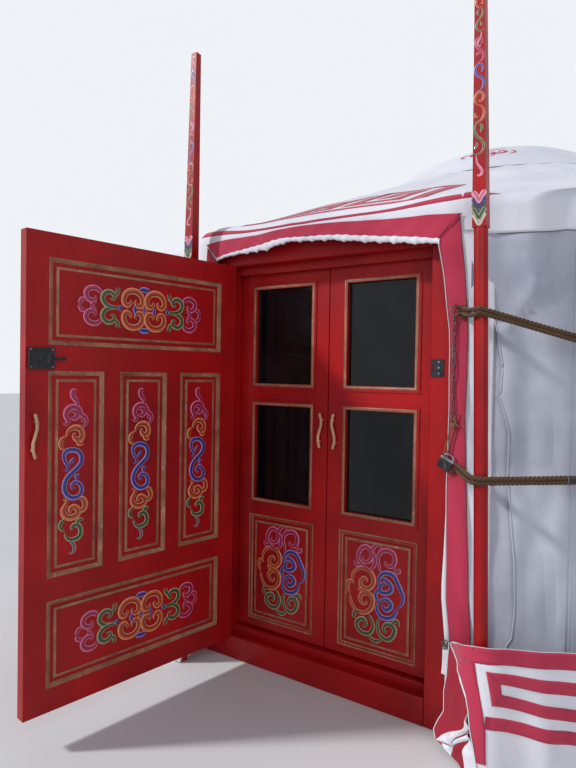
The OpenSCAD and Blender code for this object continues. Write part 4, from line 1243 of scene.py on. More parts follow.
def mitre_seam(mirror):
    """The raised seam along the flap's mitre, from its inner corner to its outer."""
    u = np.linspace(0, 1, 20)
    z = 1.873 + (1.962 - 1.873) * u
    x = 0.5365 + (0.6150 - 0.5365) * u
    path = stack(x * mirror, flap_y(x, z) - 0.0035, z)
    return rod(path, 0.0017, 6)


def skirt_place(skirt):
    """Gives the placing function for bands on a skirt, from distances along it and below its upper edge."""
    def place(s, below, above):
        below = below * (1 + 0.096 * smooth(s, 0.24, 0.58))
        return skirt.at(s, skirt_top(s) - below, above + 0.0006)
    return place


def skirt_bands(skirt):
    """Crimson bands on a skirt: one along the top, one down the front corner between its slanting edges, the
    lower band, and between them long square brackets that face each other. Gives distances along the skirt
    and below its upper edge."""
    end, corner = skirt.s[-1], skirt.corner
    z = column(0.052, 0.400, 60)
    u = row(0, 1, 7)
    run = skirt.edge(z, 0) * (1 - u) + skirt.edge(z, 1) * u
    out = [stack(run, skirt_top(run) - 0.020 - (skirt_top(run) - 0.024) * (z - 0.020) / 0.380),
           mitred([(corner - 0.150, 0.0275), (end, 0.0275)], 0.053, 0.02, 6),
           mitred([(corner - 0.010, 0.252), (corner + 0.30, 0.268), (end, 0.268)], 0.041, 0.02, 6)]
    for left, right in skirt.brackets():
        out.append(mitred([(right - 0.35, 0.112), (left + 0.27, 0.112), (left, 0.099), (left + 0.014, 0.1755),
                           (left + 0.27, 0.195), (right - 0.35, 0.195)], 0.040, 0.02, 6))
        out.append(mitred([(right - 0.30, 0.112), (right, 0.112), (right, 0.195), (right - 0.30, 0.195)],
                          0.040, 0.025))
    return out


def skirt_piping(skirt):
    """The pale binding down the corner band's left edge, and the dark seams across the brackets' corners."""
    z = np.linspace(0.016, 0.398, 80)
    edge = skirt.edge(z, 0)
    place = skirt_place(skirt)
    pale = [rod(skirt.at(edge - 0.001, z * skirt_top(edge) / 0.402, 0.0035), 0.0019, 6)]
    dark = []
    t = np.linspace(0, 1, 8)
    for left, _ in skirt.brackets():
        for (a, b), (c, d) in (((left - 0.004, 0.196), (left + 0.036, 0.156)),
                               ((left - 0.018, 0.080), (left + 0.020, 0.118))):
            dark.append(rod(place(a + (c - a) * t, b + (d - b) * t, 0.0011), 0.0009, 5))
    return pale, dark


def fold_at(skirt, u, z, lift=0.0):
    """Points of the return fold between the jamb and the skirt's corner band. Its left edge falls from the
    tied corner and spreads at the foot, its right edge goes in behind the band, and between them it swells
    and crumples by sums of sines."""
    level = [0.0, 0.046, 0.0675, 0.094, 0.124, 0.193, 0.25, 0.338, 0.39]
    x = np.interp(z, level, {1: [0.600, 0.587, 0.577, 0.585, 0.600, 0.595, 0.603, 0.607, 0.610],
                             -1: [0.594, 0.586, 0.580, 0.583, 0.590, 0.590, 0.594, 0.598, 0.600]}[skirt.sign])
    y = np.interp(z, level, [-2.945, -2.935, -2.925, -2.905, -2.885, -2.875, -2.870, -2.868, -2.868])
    left = stack(x * skirt.sign, y, z)
    right = skirt.at(skirt.edge(z, 0) + 0.003, z, -0.0045)
    u = u + 0 * z
    crumple = (0.0045 * np.sin(9 * u + 22 * z) + 0.0030 * np.sin(17 * u - 41 * z + 1)
               + 0.0035 * np.sin(50 * z + 5 * u))
    crumple = crumple * np.clip(np.sin(np.pi * u), 0, 1) ** 0.7 * smooth(0.38 - z, 0.0, 0.1)
    swell = 0.011 * np.sin(np.pi * u) * smooth(0.37 - z, 0.0, 0.2) + crumple
    out = swell + lift
    return (left * (1 - u[..., None]) + right * u[..., None]
            + out[..., None] * np.array([-0.86 * skirt.sign, -0.5, 0]))


def between(skirt, first, second, lift, dome):
    """A turned-out lobe of cloth on the return fold between two curves of fold positions: straight from one
    to the other, lifted by a half sine in the middle and gathered along its length."""
    a, b = [resampled(curve(line, 60), 44)[:, None] for line in (first, second)]
    v = row(0, 1, 14)
    flat = a * (1 - v[..., None]) + b * v[..., None]
    run = column(0, 1, 44)
    high = lift + dome * np.sin(np.pi * v) + 0.25 * dome * np.sin(run * 19 + v * 5) * np.sin(np.pi * v)
    front, back = [fold_at(skirt, flat[..., 0], flat[..., 1], h) for h in (high, high - 0.0018)]
    return slab(front, back, stack(run * 0.12, v * 0.05))


def return_fold(skirt):
    """The crimson cloth between the jamb and the skirt's corner with its pale left edge, and at its foot the
    lining that turns out in two lobes, a crimson corner under them and the white cloth beside it."""
    u = row(0, 1, 40)
    low = np.interp(u, [0, 0.2, 0.45, 0.64, 1], [0.044, 0.040, 0.022, 0.004, 0.004])
    z = low + (0.376 + 0.010 * u - low) * column(1, 0, 70)
    front, back = fold_at(skirt, u, z), fold_at(skirt, u, z, -0.0020)
    border = [(0.83, 0.091), (0.78, 0.066), (0.77, 0.033), (0.76, 0.003)]
    crimson = [slab(front, back, stack(u * 0.17, z)),
               between(skirt, [(0.92, 0.119), (0.70, 0.083), (0.48, 0.036), (0.56, 0.016), (0.64, 0.003)],
                       [(0.93, 0.116)] + border, 0.0040, 0.004)]
    white = [rod(front[:, 0], 0.0019, 6),
             between(skirt, [(1.0, 0.217), (0.86, 0.162), (0.69, 0.126), (0.34, 0.085), (0.18, 0.056)],
                     [(0.98, 0.164), (0.89, 0.144), (0.69, 0.104), (0.50, 0.061), (0.23, 0.048)],
                     0.0035, 0.010),
             between(skirt, [(0.98, 0.154), (0.69, 0.098), (0.53, 0.059), (0.24, 0.046)],
                     [(0.94, 0.122), (0.70, 0.084), (0.49, 0.041), (0.45, 0.026)], 0.0045, 0.008),
             between(skirt, [(0.93, 0.119)] + border,
                     [(0.96, 0.122), (0.99, 0.098), (1.0, 0.070), (1.0, 0.033), (1.0, 0.003)], 0.0050, 0.005)]
    return crimson, white


def side_cloth(mirror):
    """The white cloth beside the flap's crimson band: it turns back in a soft roll from the band's outer edge
    and meets the wall's canvas behind the pole."""
    z = column(0.06, 1.90, 90)
    u = row(0, 1, 16)
    outer = side_band_edges(z)[1]
    x = outer - 0.010 + (0.742 - outer) * u
    phi = np.arctan2(x, 2.80)
    wall = -np.sqrt((wall_r + cloth_out(phi, z) + 0.003) ** 2 - x * x)
    fore = flap_y(np.minimum(x, outer + 0.02), z) - 0.0005 + 0.003
    y = fore * (1 - smooth(u, 0.15, 0.9)) + wall * smooth(u, 0.15, 0.9)
    y = y - 0.0030 * np.sin(z * 13 + u * 4) * np.sin(np.pi * u)
    return [strip(mirror, x, y, y + 0.0018, z)]


def strap_clip(mirror):
    """The clip at the skirt's tied corner: a bent metal plate with a bar, and a white strap through it."""
    a = full_turn(25)
    loop = stack(0.592 * mirror + 0.0095 * np.cos(a) * mirror + 0.003 * np.sin(a), np.full(25, -2.8665),
                 0.362 + 0.0175 * np.sin(a))
    metal = [rod(loop, 0.0026, 8, closed=True, up=(0, 1, 0))]
    t = column(0, 1, 12)
    for (x0, z0), (x1, z1), thick in (((0.576, 0.371), (0.609, 0.363), 0.0026),
                                      ((0.584, 0.356), (0.604, 0.348), 0.0032),
                                      ((0.588, 0.372), (0.600, 0.352), 0.0042)):
        bar = np.array([x0 * mirror, -2.8672, z0]) * (1 - t) + np.array([x1 * mirror, -2.8672, z1]) * t
        metal.append(rod(bar, thick, 8))
    z = column(0.352, 0.250, 40)
    x = 0.582 + 0.0225 * row(0, 1, 5) + 0 * z + 0.002 * np.sin(z * 22)
    y = -2.8648 - 0.0020 * np.sin(z * 60) + 0.0 * x
    return metal, [strip(mirror, x, y, y + 0.0015, z)]


# Rope ends, chain and lock

rng = np.random.default_rng(7)


def two_bundles(route):
    """A girth rope as two twisted bundles side by side, three strands in each."""
    shells = []
    for side in (1, -1):
        wander = 0.0009 * np.sin(lengths(route) * 9 + side)
        line = route + stack(0, wander * 0, side * 0.0081 + wander)
        shells += strands(line, 3, 0.0048, 0.0043, 0.044 * side, 5)
    return shells


def fuzz(route, count, reach):
    """Loose hairs that stand off a rope's first stretch on both sides of the door."""
    ends = route[(np.abs(route[:, 0]) < reach) & (route[:, 1] < 0)]
    shells = []
    for start in ends[rng.integers(0, len(ends) - 1, count)]:
        aim = rng.normal(0, 1, 3)
        t = column(0, 1, 4)
        path = start + unit(aim) * (0.006 + 0.012 * t) + rng.normal(0, 0.012, 3) * t ** 2
        shells.append(tube(path, 0.00035, 3, size=1 - 0.7 * t[:, 0]))
    return shells


def chain_links(top, low, count):
    """Fine chain: long loops of wire, two half circles joined by straight sides, each turned a quarter
    against the one before."""
    top, low = np.array(top, float), np.array(low, float)
    a = full_turn(20)
    shells = []
    for k in range(count):
        middle = top + (low - top) * (k + 0.5) / count
        across = 0.0046 * np.cos(a)
        upward = 0.0052 * np.sin(a) + 0.0088 * np.sign(np.sin(a)) * (np.abs(np.sin(a)) > 0.01)
        zero = 0 * a
        flat = np.stack([across, zero, upward] if k % 2 else [zero, across, upward], -1)
        turn = 0.35 * math.sin(k * 2.1)
        c, s = math.cos(turn), math.sin(turn)
        flat = stack(flat[:, 0] * c - flat[:, 1] * s, flat[:, 0] * s + flat[:, 1] * c, flat[:, 2])
        normal = np.array([-s, c, 0.0]) if k % 2 else np.array([c, s, 0.0])
        shells.append(rod(middle + flat, 0.0017, 6, closed=True, up=normal))
    return shells


def loop_cords(low, high):
    """The leather loop that carries the lock: a narrow leaning stadium of cord, bound with turns of cord."""
    low, high = np.array(low, float), np.array(high, float)
    axis = high - low
    side = np.array([1.0, 0, 0])
    a = full_turn(48)
    reach = np.linalg.norm(axis) / 2
    path = ((low + high) / 2 + side * (0.0068 * np.cos(a))[:, None]
            + unit(axis) * ((reach - 0.0068) * np.sign(np.sin(a)) + 0.0068 * np.sin(a))[:, None])
    path = curve(path, 90, closed=True)[:-1]
    shells = [rod(path, 0.0024, 8, closed=True, up=(0, 1, 0))]
    t = np.linspace(0, 1, 80)
    turns = t * 5 * 2 * math.pi
    bind = (high - unit(axis) * (0.016 + 0.016 * t)[:, None]
            + side * (0.0095 * np.cos(turns))[:, None] + np.array([0, 0.0048, 0]) * np.sin(turns)[:, None])
    shells.append(rod(bind, 0.0017, 6))
    return shells


def frayed(at, towards, count=46):
    """A tuft of loose hairs: bent lines of a few points that start close together and spread."""
    at, towards = np.array(at, float), unit(np.array(towards, float))
    t = column(0, 1, 6)
    shells = []
    for _ in range(count):
        start = at + rng.normal(0, 0.0040, 3)
        aim = unit(towards + rng.normal(0, 0.45, 3))
        bend = rng.normal(0, 0.010, 3)
        path = start + aim * t * 0.038 * rng.uniform(0.5, 1.0) + bend * t ** 2
        path = path + np.array([0, 0, -0.006]) * t ** 2
        shells.append(tube(path, 0.00045, 3, size=1 - 0.7 * t[:, 0]))
    return shells


def rope_knot(at):
    """A knot: a bundle wound in a helix round an upright line, closing in at both ends."""
    t = np.linspace(0, 1, 90)
    a = t * 3.2 * 2 * math.pi
    r = 0.015 * (0.70 + 0.30 * np.sin(np.pi * t))
    path = np.array(at) + stack(r * np.cos(a), 0.75 * r * np.sin(a), (t - 0.5) * 0.034)
    return strands(path, 3, 0.0030, 0.0033, 0.03, 6)


def white_tie(at, phi):
    """A strip of white cloth knotted round the ropes: two turns and two short tails."""
    t = np.linspace(0, 1, 60)
    a = t * 4 * math.pi
    along = np.array([math.cos(phi), math.sin(phi), 0])
    out = np.array([math.sin(phi), -math.cos(phi), 0])
    up = np.array([0, 0, 1.0])
    ringed = (np.array(at) + 0.0175 * np.cos(a)[:, None] * out + 0.0195 * np.sin(a)[:, None] * up
              + along * ((t - 0.5) * 0.016)[:, None])
    flat = ring(8, 0.0028) * [2.0, 1.0]
    s = lengths(ringed)
    uv = pairs(s, np.arange(8) / 8 * 0.02)
    shells = [solid(carried(ringed, flat, out), uv)]
    for lean in (-0.010, 0.012):
        v = column(0, 1, 14)
        path = (np.array(at) + out * (0.021 - 0.004 * v) + along * (lean * v + 0.003 * np.sin(v * 7))
                - up * (0.006 + 0.040 * v))
        shells.append(solid(carried(path, ring(8, 0.0012) * [5.0, 1.0], out)))
    return shells


def rounded_slab(width, height, deep, soft):
    """A closed cushion-like block: superellipse rings in width and height that shrink towards both faces."""
    c, s = ring(48).T
    power = 2 / 7
    x = np.sign(c) * np.abs(c) ** power * width / 2
    z = np.sign(s) * np.abs(s) ** power * height / 2
    y = np.sin(np.linspace(-1, 1, 18) * math.pi / 2)[:, None]
    shrink = soft * (1 - np.sqrt(np.clip(1 - np.abs(y) ** 6, 0, 1)))
    return stack(x * (1 - shrink / (width / 2)), y * deep / 2, z * (1 - shrink / (height / 2)))


def padlock_parts(centre):
    """A padlock that leans on the rope's end: body, grey rim band, low shackle and key disc, turned together
    about its middle."""
    lean = math.radians(28)
    c, s = math.cos(lean), math.sin(lean)

    def hung(points):
        x, y, z = points[..., 0], points[..., 1], points[..., 2]
        return np.array(centre) + stack(x * c + z * s, y, -x * s + z * c)

    body = rounded_slab(0.054, 0.045, 0.019, 0.0026) + [0, 0, -0.007]
    rim = rounded_slab(0.0552, 0.0100, 0.0196, 0.0010) + [0, 0, 0.0125]
    a = np.linspace(0, math.pi, 30)
    arch = stack(0.0185 * np.cos(a), 0 * a, 0.0200 + 0.0100 * np.sin(a))
    shackle = join([[[0.0185, 0, 0.012]], arch, [[-0.0185, 0, 0.012]]])
    disc = full_turn(28)
    key = np.stack([stack(r * np.cos(disc), r * np.sin(disc), np.full(28, z))
                    for r, z in ((0.0008, -0.0308), (0.0060, -0.0308), (0.0066, -0.0302), (0.0066, -0.0280))])
    return ([solid(hung(body))],
            [solid(hung(rim)), solid(hung(key))],
            [rod(hung(shackle), 0.0031, 12)])


def screw(at, out, radius, place):
    """A round screw head: rings that rise to a low dome with a sunk middle."""
    r, high = np.array([(radius, 0.0), (radius * 0.97, 0.0009), (radius * 0.7, 0.0016),
                        (radius * 0.3, 0.0012),
                        (radius * 0.06, 0.0004)]).T[..., None]
    c, s = ring(20).T
    return solid(place(at[0] + r * c, at[1] + r * s, out + high))


# Materials

def ornament_paint(name, *tones):
    """Brush-painted scroll: a pale outline along both edges and a colour between them that darkens to one
    side, with streaks along the stroke. The tones are those three."""
    outline, tone, deep = colours(*tones)
    p = Paint(name, Roughness=0.38, Coat_Weight=0.2)
    uv = p.coords(uv=True)
    across = p.put("SeparateXYZ", Vector=uv).outputs["Y"]
    streaks = p.noise(p.coords((160, 3, 1), uv=True), 2.2, 3)
    wander = p.sum("MULTIPLY", p.sum("SUBTRACT", streaks, 0.5), 0.10)
    place = p.sum("ADD", across, wander)
    soft_line = tuple(0.85 * a + 0.15 * b for a, b in zip(outline, deep))
    base = p.ramp(place, (0.0, outline), (0.18, outline), (0.25, tone), (0.42, tone), (0.60, deep),
                  (0.77, deep),
                          (0.83, soft_line), (1.0, soft_line))
    worn = p.ramp(p.noise(p.coords(), 70, 4, 0.6), (0.5, 0.0), (0.75, 0.35))
    base = p.mix(worn, base, deep)
    p.bump(streaks, 0.0003, 0.5)
    return p.finish(base)


def metal_paint(name, rough, metallic, *tones):
    """Bronze or iron finish: mottled tone, small bright rubs and fine pits. The tones are its colour, a dark
    one and the bright one."""
    tone, dark, bright = colours(*tones)
    p = Paint(name, Metallic=metallic, Roughness=rough)
    cloud = p.noise(p.coords(), 14, 5, 0.6)
    base = p.mix(p.ramp(cloud, (0.35, 0.0), (0.7, 1.0)), tone, dark)
    rubs = p.ramp(p.noise(p.coords((1, 1, 0.4)), 60, 4, 0.65), (0.58, 0.0), (0.74, 0.75))
    base = p.mix(rubs, base, bright)
    p.bump(p.noise(p.coords(), 220, 3), 0.0003, 0.5)
    p.bump(cloud, 0.0006, 0.4)
    return p.finish(base, p.ramp(rubs, (0.0, rough), (1.0, rough * 0.7)))


def bare_wood(name, *tones, along=(1, 1, 0.07), scale=60, rough=0.55, dirt=0.25):
    """Unpainted wood: long grain from stretched noise, darker growth lines, and grime from handling."""
    tone, dark = colours(*tones)
    p = Paint(name, Roughness=rough)
    grain = p.noise(p.coords(along), scale, 6, 0.6, 0.5)
    lines = p.noise(p.coords(along), scale * 0.35, 2, 0.4, 1.2)
    base = p.mix(p.ramp(grain, (0.3, 0.0), (0.7, 1.0)), tone, dark)
    base = p.mix(p.ramp(lines, (0.47, 0.0), (0.5, 0.5), (0.53, 0.0)), base, dark)
    grime = p.ramp(p.noise(p.coords(), 12, 4), (0.5, 0.0), (0.8, dirt))
    base = p.mix(grime, base, tuple(0.3 * c for c in dark[:3]) + (1.0,))
    p.bump(grain, 0.0006, 0.6)
    return p.finish(base)


def floor_paint():
    """Floor boards across the doorway's line: oiled wood, each board a little different, with dark joints."""
    p = Paint("floor_boards", Roughness=0.5)
    place = p.put("SeparateXYZ", Vector=p.coords())
    board = p.sum("DIVIDE", place.outputs["X"], 0.14)
    cell = p.sum("FLOOR", board)
    part = p.sum("FRACT", board)
    edge = p.sum("ABSOLUTE", p.sum("SUBTRACT", part, 0.5))
    tint = p.put("TexWhiteNoise", Vector=p.put("CombineXYZ", X=cell).outputs[0]).outputs["Value"]
    grain = p.noise(p.coords((18, 1.1, 18)), 3.5, 6, 0.6, 0.6)
    base = p.mix(p.ramp(grain, (0.3, 0.0), (0.75, 1.0)), colour(176, 128, 82), colour(128, 84, 48))
    base = p.mix(p.ramp(tint, (0.0, 0.0), (1.0, 0.4)), base, colour(118, 78, 46))
    joint = p.ramp(edge, (0.475, 0.0), (0.49, 1.0))
    base = p.mix(joint, base, colour(40, 26, 16))
    p.bump(grain, 0.0006, 0.5)
    p.bump(p.ramp(edge, (0.47, 1.0), (0.5, 0.0)), 0.003, 0.8)
    return p.finish(base)


def hair_paint(name, *tones):
    """Twisted horse-hair: fine fibres slanting along each strand, with paler hairs among dark ones."""
    tone, dark, pale = colours(*tones)
    p = Paint(name, Roughness=0.85, Sheen_Weight=0.04)
    uv = p.coords((60, 26, 1), turn=(0, 0, 0.5), uv=True)
    fibres = p.noise(uv, 6, 5, 0.7)
    base = p.mix(p.ramp(fibres, (0.3, 0.0), (0.7, 1.0)), dark, tone)
    hairs = p.ramp(p.noise(p.coords((240, 40, 1), uv=True), 4, 3), (0.62, 0.0), (0.74, 0.7))
    base = p.mix(hairs, base, pale)
    base = p.mix(p.ramp(p.noise(p.coords(), 9, 3), (0.4, 0.0), (0.7, 0.4)), base, dark)
    p.bump(fibres, 0.0012, 0.9)
    return p.finish(base)


def glass_paint():
    """Window glass whose near-black base is painted shade for the dim room behind it, with paler dust that
    settles in drifts.
    """
    p = Paint("pane_glass", Transmission_Weight=0.4, IOR=1.5, Specular_IOR_Level=0.16)
    dust = p.noise(p.coords(), 4.5, 6, 0.65)
    # Painted shade: the near-black base stands for the dim room seen through the glass; the paler tone is
    # dust
    base = p.mix(p.ramp(dust, (0.45, 0.0), (0.8, 1.0)), colour(7, 8, 13), colour(30, 32, 38))
    p.bump(p.noise(p.coords(), 6, 2), 0.002, 0.12)
    return p.finish(base, p.ramp(dust, (0.4, 0.04), (0.8, 0.16)))


tones = {
    "pink": ((222, 120, 158), (158, 30, 80), (118, 12, 40)),
    "pale_pink": ((224, 160, 176), (206, 128, 150), (170, 84, 112)),
    "orange": ((218, 150, 106), (190, 84, 28), (122, 24, 16)),
    "blue": ((156, 150, 206), (50, 58, 158), (34, 20, 74)),
    "navy": ((70, 74, 130), (34, 36, 92), (22, 20, 62)),
    "green": ((164, 172, 128), (70, 92, 56), (46, 40, 30)),
    "dark_green": ((96, 104, 88), (44, 62, 48), (30, 40, 34)),
    "grey": ((176, 168, 168), (112, 100, 108), (72, 60, 72)),
    "pale": ((206, 200, 190), (186, 176, 166), (150, 132, 126)),
}
red_gloss = gloss_paint("red_gloss", (174, 15, 17), (128, 8, 14), (146, 44, 38))
ornament = {name: ornament_paint(name + "_ornament", *three) for name, three in tones.items()}
bronze = metal_paint("bronze_paint", 0.45, 0.12, (160, 108, 82), (116, 70, 52), (206, 160, 130))
black_iron = metal_paint("black_iron", 0.45, 0.5, (42, 44, 50), (24, 25, 30), (96, 96, 98))
chain_steel = metal_paint("chain_steel", 0.38, 0.85, (120, 116, 114), (60, 56, 54), (196, 192, 188))
bright_steel = metal_paint("bright_steel", 0.32, 0.9, (150, 150, 154), (88, 88, 94), (208, 208, 210))
raw_wood = bare_wood("raw_wood", (214, 176, 142), (160, 118, 84))
orange_wood = bare_wood("orange_wood", (190, 88, 40), (150, 58, 24), along=(1, 1, 0.3), scale=30,
                        rough=0.42, dirt=0.3)
boards = floor_paint()
dark_piping = woven_cloth("dark_piping", (92, 20, 36), (70, 14, 28), (60, 20, 30))
rope_hair = hair_paint("rope_hair", (112, 80, 48), (44, 29, 18), (172, 140, 98))
black_tape = woven_cloth("black_tape", (34, 30, 34), (24, 20, 26), (58, 50, 50))
leather = hair_paint("leather_cord", (160, 118, 78), (92, 62, 38), (196, 160, 120))
pane_glass = glass_paint()
crimson_cloth = woven_cloth("crimson_cloth", (184, 44, 74), (160, 30, 60), (132, 34, 56))
# Painted shade: a darker copy of the crimson cloth for the return folds, which stand in shade
crimson_painted_shade = woven_cloth("crimson_cloth_painted_shade", (152, 14, 42), (130, 8, 34), (112, 16, 38), sheen=0.06)
white_cloth = woven_cloth("white_cloth", (224, 224, 230), (202, 204, 214), (172, 166, 154))
# Painted shade: a darker, greyer copy of the white cloth for the wall, which stands in shade; the roof, crown
# and skirt keep the white cloth
wall_cloth_painted_shade = woven_cloth("wall_cloth_painted_shade", (184, 187, 198), (140, 143, 159), (126, 123, 120))

slot_of = {material.name: slot for slot, materials in {
    "white_canvas": (white_cloth, wall_cloth_painted_shade),
    "crimson_canvas": (crimson_cloth, crimson_painted_shade, dark_piping),
    "rope_hair": (rope_hair, black_tape, leather),
    "iron": (black_iron, chain_steel, bright_steel),
    "bronze_wood": (bronze,),
    "red_wood": ornament.values(),
}.items() for material in materials}


# Build

set_camera()


def dress(material, *names):
    """Gives a material to the CAD nodes that stay."""
    for name in names:
        mesh = nodes[name].data
        if not mesh.materials:
            mesh.materials.append(material)
        for k in range(len(mesh.materials)):
            mesh.materials[k] = material


dress(red_gloss, "sill", "left_jamb", "right_jamb", "lintel", "outer_door", "inner_left_door",
      "inner_right_door", "left_painted_pole", "right_painted_pole")
dress(black_iron, "keeper_plate", "hinge_pins", "bolt_case", "bolt")
dress(raw_wood, "outer_door_handle", "inner_left_handle", "inner_right_handle")
dress(pane_glass, "inner_left_glass", "inner_right_glass")
dress(orange_wood, *["lattice_%d" % k for k in range(1, 6)], "roof_poles", "crown_ring", "crown_spokes",
      "left_crown_post", "right_crown_post")
dress(boards, "floor")

# Cloth and ropes

# The wall's canvas takes the cloth darkened with painted shade
piece("wall_canvas", wall_canvas(), wall_cloth_painted_shade, replaces=["wall_cover_%d" % i for i in range(1, 7)])
piece("roof_canvas", roof_canvas(), white_cloth,
      replaces=["roof_cover_front", "roof_cover_right", "roof_cover_back", "roof_cover_left"])
piece("crown_canvas", crown_canvas(), white_cloth, replaces=["crown_cover"])
piece("flap_cloth", side_band(1) + side_band(-1) + top_band(), crimson_cloth, replaces=["door_flap"])
piece("flap_hem", flap_hem(), white_cloth)
skirts = {sign: Skirt(sign) for sign, _ in both_sides}
for sign, side in both_sides:
    piece(side + "_skirt", skirts[sign].shell(), white_cloth, replaces=["skirt", side + "_skirt_front"])
routes = {"upper": rope_route("upper", 0.631, 33.0, -102.6),
          "lower": rope_route("lower", 0.618, 33.9, -117.0)}
for level, route in routes.items():
    piece(level + "_girth_rope", two_bundles(route), rope_hair, replaces=[level + "_rope"])
    side = np.degrees(np.arctan2(route[:, 0], -route[:, 1]))
    tied = int(np.argmin(np.abs(side - tie_side)))
    piece(level + "_tie", white_tie(route[tied], math.radians(tie_side)), white_cloth)
    if level == "lower":
        piece("rope_sleeve", [rod(route[np.abs(side - 19.65) < 0.40], 0.0150, 14)], black_tape)
piece("roof_stripe", sewn([roof_stripe()], on_roof), crimson_cloth)
piece("roof_key", sewn(roof_key(), over_door), crimson_cloth)
shells = []
for middle in (7.5, 97.5, 187.5, 277.5):
    shells += ribbons(crown_scroll(), on_crown(middle), 0.0016)
piece("crown_scrolls", shells, crimson_cloth)
for sign, side in both_sides:
    skirt = skirts[sign]
    # The overlap panels take the cloth darkened with painted shade
    piece(side + "_overlap_panel", overlap_panel(sign), wall_cloth_painted_shade)
    piece(side + "_skirt_bands", sewn(skirt_bands(skirt), skirt_place(skirt)), crimson_cloth)
    fold, trim = return_fold(skirt)
    pale, dark = skirt_piping(skirt)
    piece(side + "_skirt_binding", pale, white_cloth)
    piece(side + "_skirt_seams", dark, dark_piping)
    # The return fold takes the crimson darkened with painted shade
    piece(side + "_return_fold", fold, crimson_painted_shade)
    piece(side + "_return_trim", trim, white_cloth)
    piece(side + "_flap_binding", [white_edge(sign)], white_cloth)
    piece(side + "_flap_piping", [rod(flap_edge(sign), 0.0016, 6), mitre_seam(sign)], dark_piping)
# The wall's seams take the cloth darkened with painted shade
piece("wall_seams", seams(), wall_cloth_painted_shade)
piece("upper_rope_knot", rope_knot((0.630, -2.866, 1.604)), rope_hair)
tufts = [((0.622, -2.874, 1.612), (-0.3, -0.5, 0.5)), ((0.640, -2.880, 1.588), (0.2, -0.6, -0.7)),
         ((0.622, -2.880, 1.018), (-0.5, -0.5, -0.3)), ((0.648, -2.885, 1.030), (0.4, -0.6, 0.6), 30)]
piece("rope_tufts", [shell for tuft in tufts for shell in frayed(*tuft)], rope_hair)
piece("rope_fuzz", fuzz(routes["upper"], 170, 1.8) + fuzz(routes["lower"], 170, 1.8), rope_hair)

# Chain, lock and clip

a = full_turn(40)
iron_ring = stack(0.603 + 0.0185 * np.cos(a), clip_y + 0.003 * np.sin(a), 1.607 + 0.0185 * np.sin(a))
piece("chain", chain_links((0.601, chain_y, 1.592), (0.600, chain_y, 1.195), 21)
      + [rod(iron_ring, 0.0017, 8, closed=True, up=(0, 1, 0))], chain_steel, replaces=["ring_and_chain"])
cords = loop_cords((0.5795, chain_y, 1.076), (0.610, chain_y, 1.208))
for end in ([[0.607, clip_y, 1.196], [0.613, -2.864, 1.215], [0.622, -2.8635, 1.232]],
            [[0.606, clip_y, 1.190], [0.616, -2.865, 1.188], [0.626, -2.8635, 1.179]]):
    cords.append(rod(np.array(end), 0.0019, 6))
piece("lock_cords", cords, leather, replaces=["lock_loop"])
for sign, side in both_sides:
    piece(side + "_side_cloth", side_cloth(sign), white_cloth)
metal, strap = strap_clip(1)
piece("strap_clip", metal, chain_steel)
piece("clip_strap", strap, white_cloth)


def on_keeper(a, b, out):
    """Points on the keeper plate's front: a across, b up, and out from the plate."""
    return stack(a, door_y - 0.003 - out, b)


piece("leaf_screws", [screw((u, z), 0.018, 0.0035, at_leaf) for u in (0.889, 0.967) for z in (1.374, 1.436)],
      bright_steel, "outer_leaf")
piece("keeper_screws", [screw((0.5330, z), -0.0006, 0.0042, on_keeper) for z in (1.3730, 1.3950, 1.4170)],
      bright_steel)
body, rim, shackle = padlock_parts((0.5830, chain_y, 1.0440))
piece("padlock_body", body, black_iron, replaces=["padlock"], sharp=28)
piece("padlock_rim", rim, bright_steel, replaces=["padlock"], sharp=28)
piece("padlock_shackle", shackle, bright_steel, replaces=["padlock"])

# Painted ornament and mouldings

roses, stems = rosette(), upright_ornament()
for tone in ("pink", "orange", "blue", "green", "grey"):
    strokes = []
    for z in (0.360, 1.6125):
        strokes += moved([stroke * [1, 0.85, 1] for stroke in roses.get(tone, [])], 0.4935, z)
    for u in (0.201, 0.4935, 0.786):
        strokes += moved(stems.get(tone, []), u, 0.9825)
    shells = []
    for face in (1, -1):
        shells += ribbons(strokes, partial(at_leaf, face=face, sunk=field_in))
    piece("leaf_ornament_" + tone, shells, ornament[tone], "outer_leaf")
shells = [moulding(*rect, profile, partial(at_leaf, face=face))
          for face in (1, -1) for rect in leaf_panels for profile in (bevel, bead)]
piece("leaf_mouldings", shells, bronze, "outer_leaf", ["outer_door_mouldings"], sharp=40)
for sign, side in reversed(both_sides):
    leaf = "inner_%s_leaf" % side
    for tone, strokes in inner_ornament().items():
        if sign < 0:
            strokes = moved(mirrored(strokes, -1), inner_x[0] + inner_x[1] - 0.010, 0)
        piece("inner_%s_ornament_%s" % (side, tone), ribbons(strokes, partial(at_inner, sign)),
              ornament[tone], leaf)
    shells = [moulding(*inner_x, *rise, partial(at_inner, sign, base=inner_front_y)) for rise in inner_frames]
    piece("inner_%s_mouldings" % side, shells, bronze, leaf, sharp=40)
for which in ("left", "right"):
    strokes = pole_ornament()
    for tone, stroke in chevrons():
        strokes.setdefault(tone, []).append(stroke)
    for tone, lines in strokes.items():
        piece("%s_pole_%s" % (which, tone), ribbons(lines, partial(at_pole, which), 0.0006), ornament[tone])

# Cut sizes of the cloth

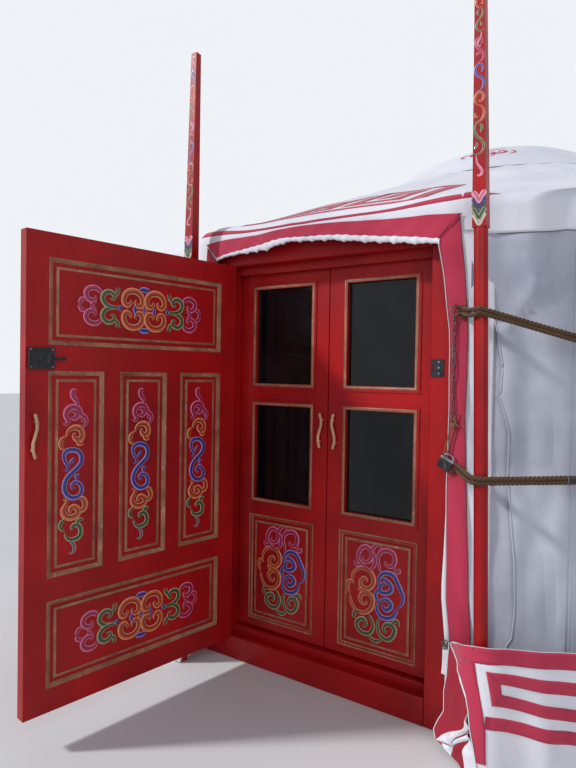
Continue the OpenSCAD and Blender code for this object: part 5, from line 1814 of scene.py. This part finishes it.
bound = ["flap_hem", "left_flap_binding", "left_flap_piping", "right_flap_binding", "right_flap_piping"]
cuts = [("flap_cloth", (0.095, 3.80), "hung", ["lintel", "roof_canvas"], bound),
        ("crown_canvas", (2.34, 2.34), "stretched", ["roof_canvas"], ["crown_scrolls"]),
        ("roof_stripe", (0.019, 1.49), "stretched", ["roof_canvas"], []),
        ("roof_key", (0.066, 5.52), "stretched", ["roof_canvas"], []),
        ("clip_strap", (0.0225, 0.105), "hung", ["strap_clip"], []),
        ("upper_tie", (0.014, 0.30), "folded", ["upper_girth_rope"], []),
        ("lower_tie", (0.014, 0.30), "folded", ["lower_girth_rope"], [])]
for side, length, fold_width in (("left", 8.74, 0.10), ("right", 8.65, 0.17)):
    cuts += [(side + "_skirt", (0.43, length), "gathered", ["wall_canvas", side + "_painted_pole"],
              [side + "_skirt_" + name for name in ("bands", "binding", "seams")]),
             (side + "_overlap_panel", (0.218, 1.525), "hung", ["wall_canvas"], []),
             (side + "_side_cloth", (0.098, 1.84), "hung", ["wall_canvas", "flap_cloth"], []),
             (side + "_return_fold", (fold_width, 0.385), "folded", [side + "_skirt"],
              [side + "_return_trim"])]
for name, flat, held, carrier, along in cuts:
    [bpy.data.objects[other] for other in along]
    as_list(carrier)


# Studio

def studio():
    """A large pale floor, a soft key from the left in front, a weak fill and an even sky. Camera, glossy and
    transmission rays see a paler backdrop than the sky that lights the yurt."""
    bpy.ops.mesh.primitive_plane_add(size=60, location=(0, 0, -0.002))
    floor = bpy.context.object
    floor.name = "studio_floor"
    paint = Paint("studio_floor", Roughness=0.9)
    ground = paint.noise(paint.coords(), 0.6, 2)
    floor.data.materials.append(paint.finish(paint.ramp(ground, (0.3, 0.62), (0.7, 0.66))))
    world = bpy.data.worlds.new("studio")
    bpy.context.scene.world = world
    world.use_nodes = True
    tree = world.node_tree
    link, new = tree.links.new, tree.nodes.new
    sky, backdrop = tree.nodes["Background"], new("ShaderNodeBackground")
    sky.inputs["Color"].default_value = (0.80, 0.86, 1.0, 1)
    sky.inputs["Strength"].default_value = 0.42
    backdrop.inputs["Color"].default_value = (0.86, 0.89, 0.93, 1)
    rays = new("ShaderNodeLightPath")
    seen = rays.outputs["Is Camera Ray"]
    for kind in ("Is Glossy Ray", "Is Transmission Ray"):
        either = new("ShaderNodeMath")
        either.operation = "MAXIMUM"
        link(seen, either.inputs[0])
        link(rays.outputs[kind], either.inputs[1])
        seen = either.outputs[0]
    blend = new("ShaderNodeMixShader")
    for k, output in enumerate((seen, sky.outputs[0], backdrop.outputs[0])):
        link(output, blend.inputs[k])
    link(blend.outputs[0], tree.nodes["World Output"].inputs["Surface"])
    lamp("key", "SUN", 2.7, (-6.5, -5.6, 7.0), (0, 0, 1.0), math.radians(5))
    lamp("fill", "AREA", 75, (3.5, -7.0, 3.0), (0, -2.8, 1.2), 4.0)
    bpy.context.scene.view_settings.view_transform = "Standard"


studio()
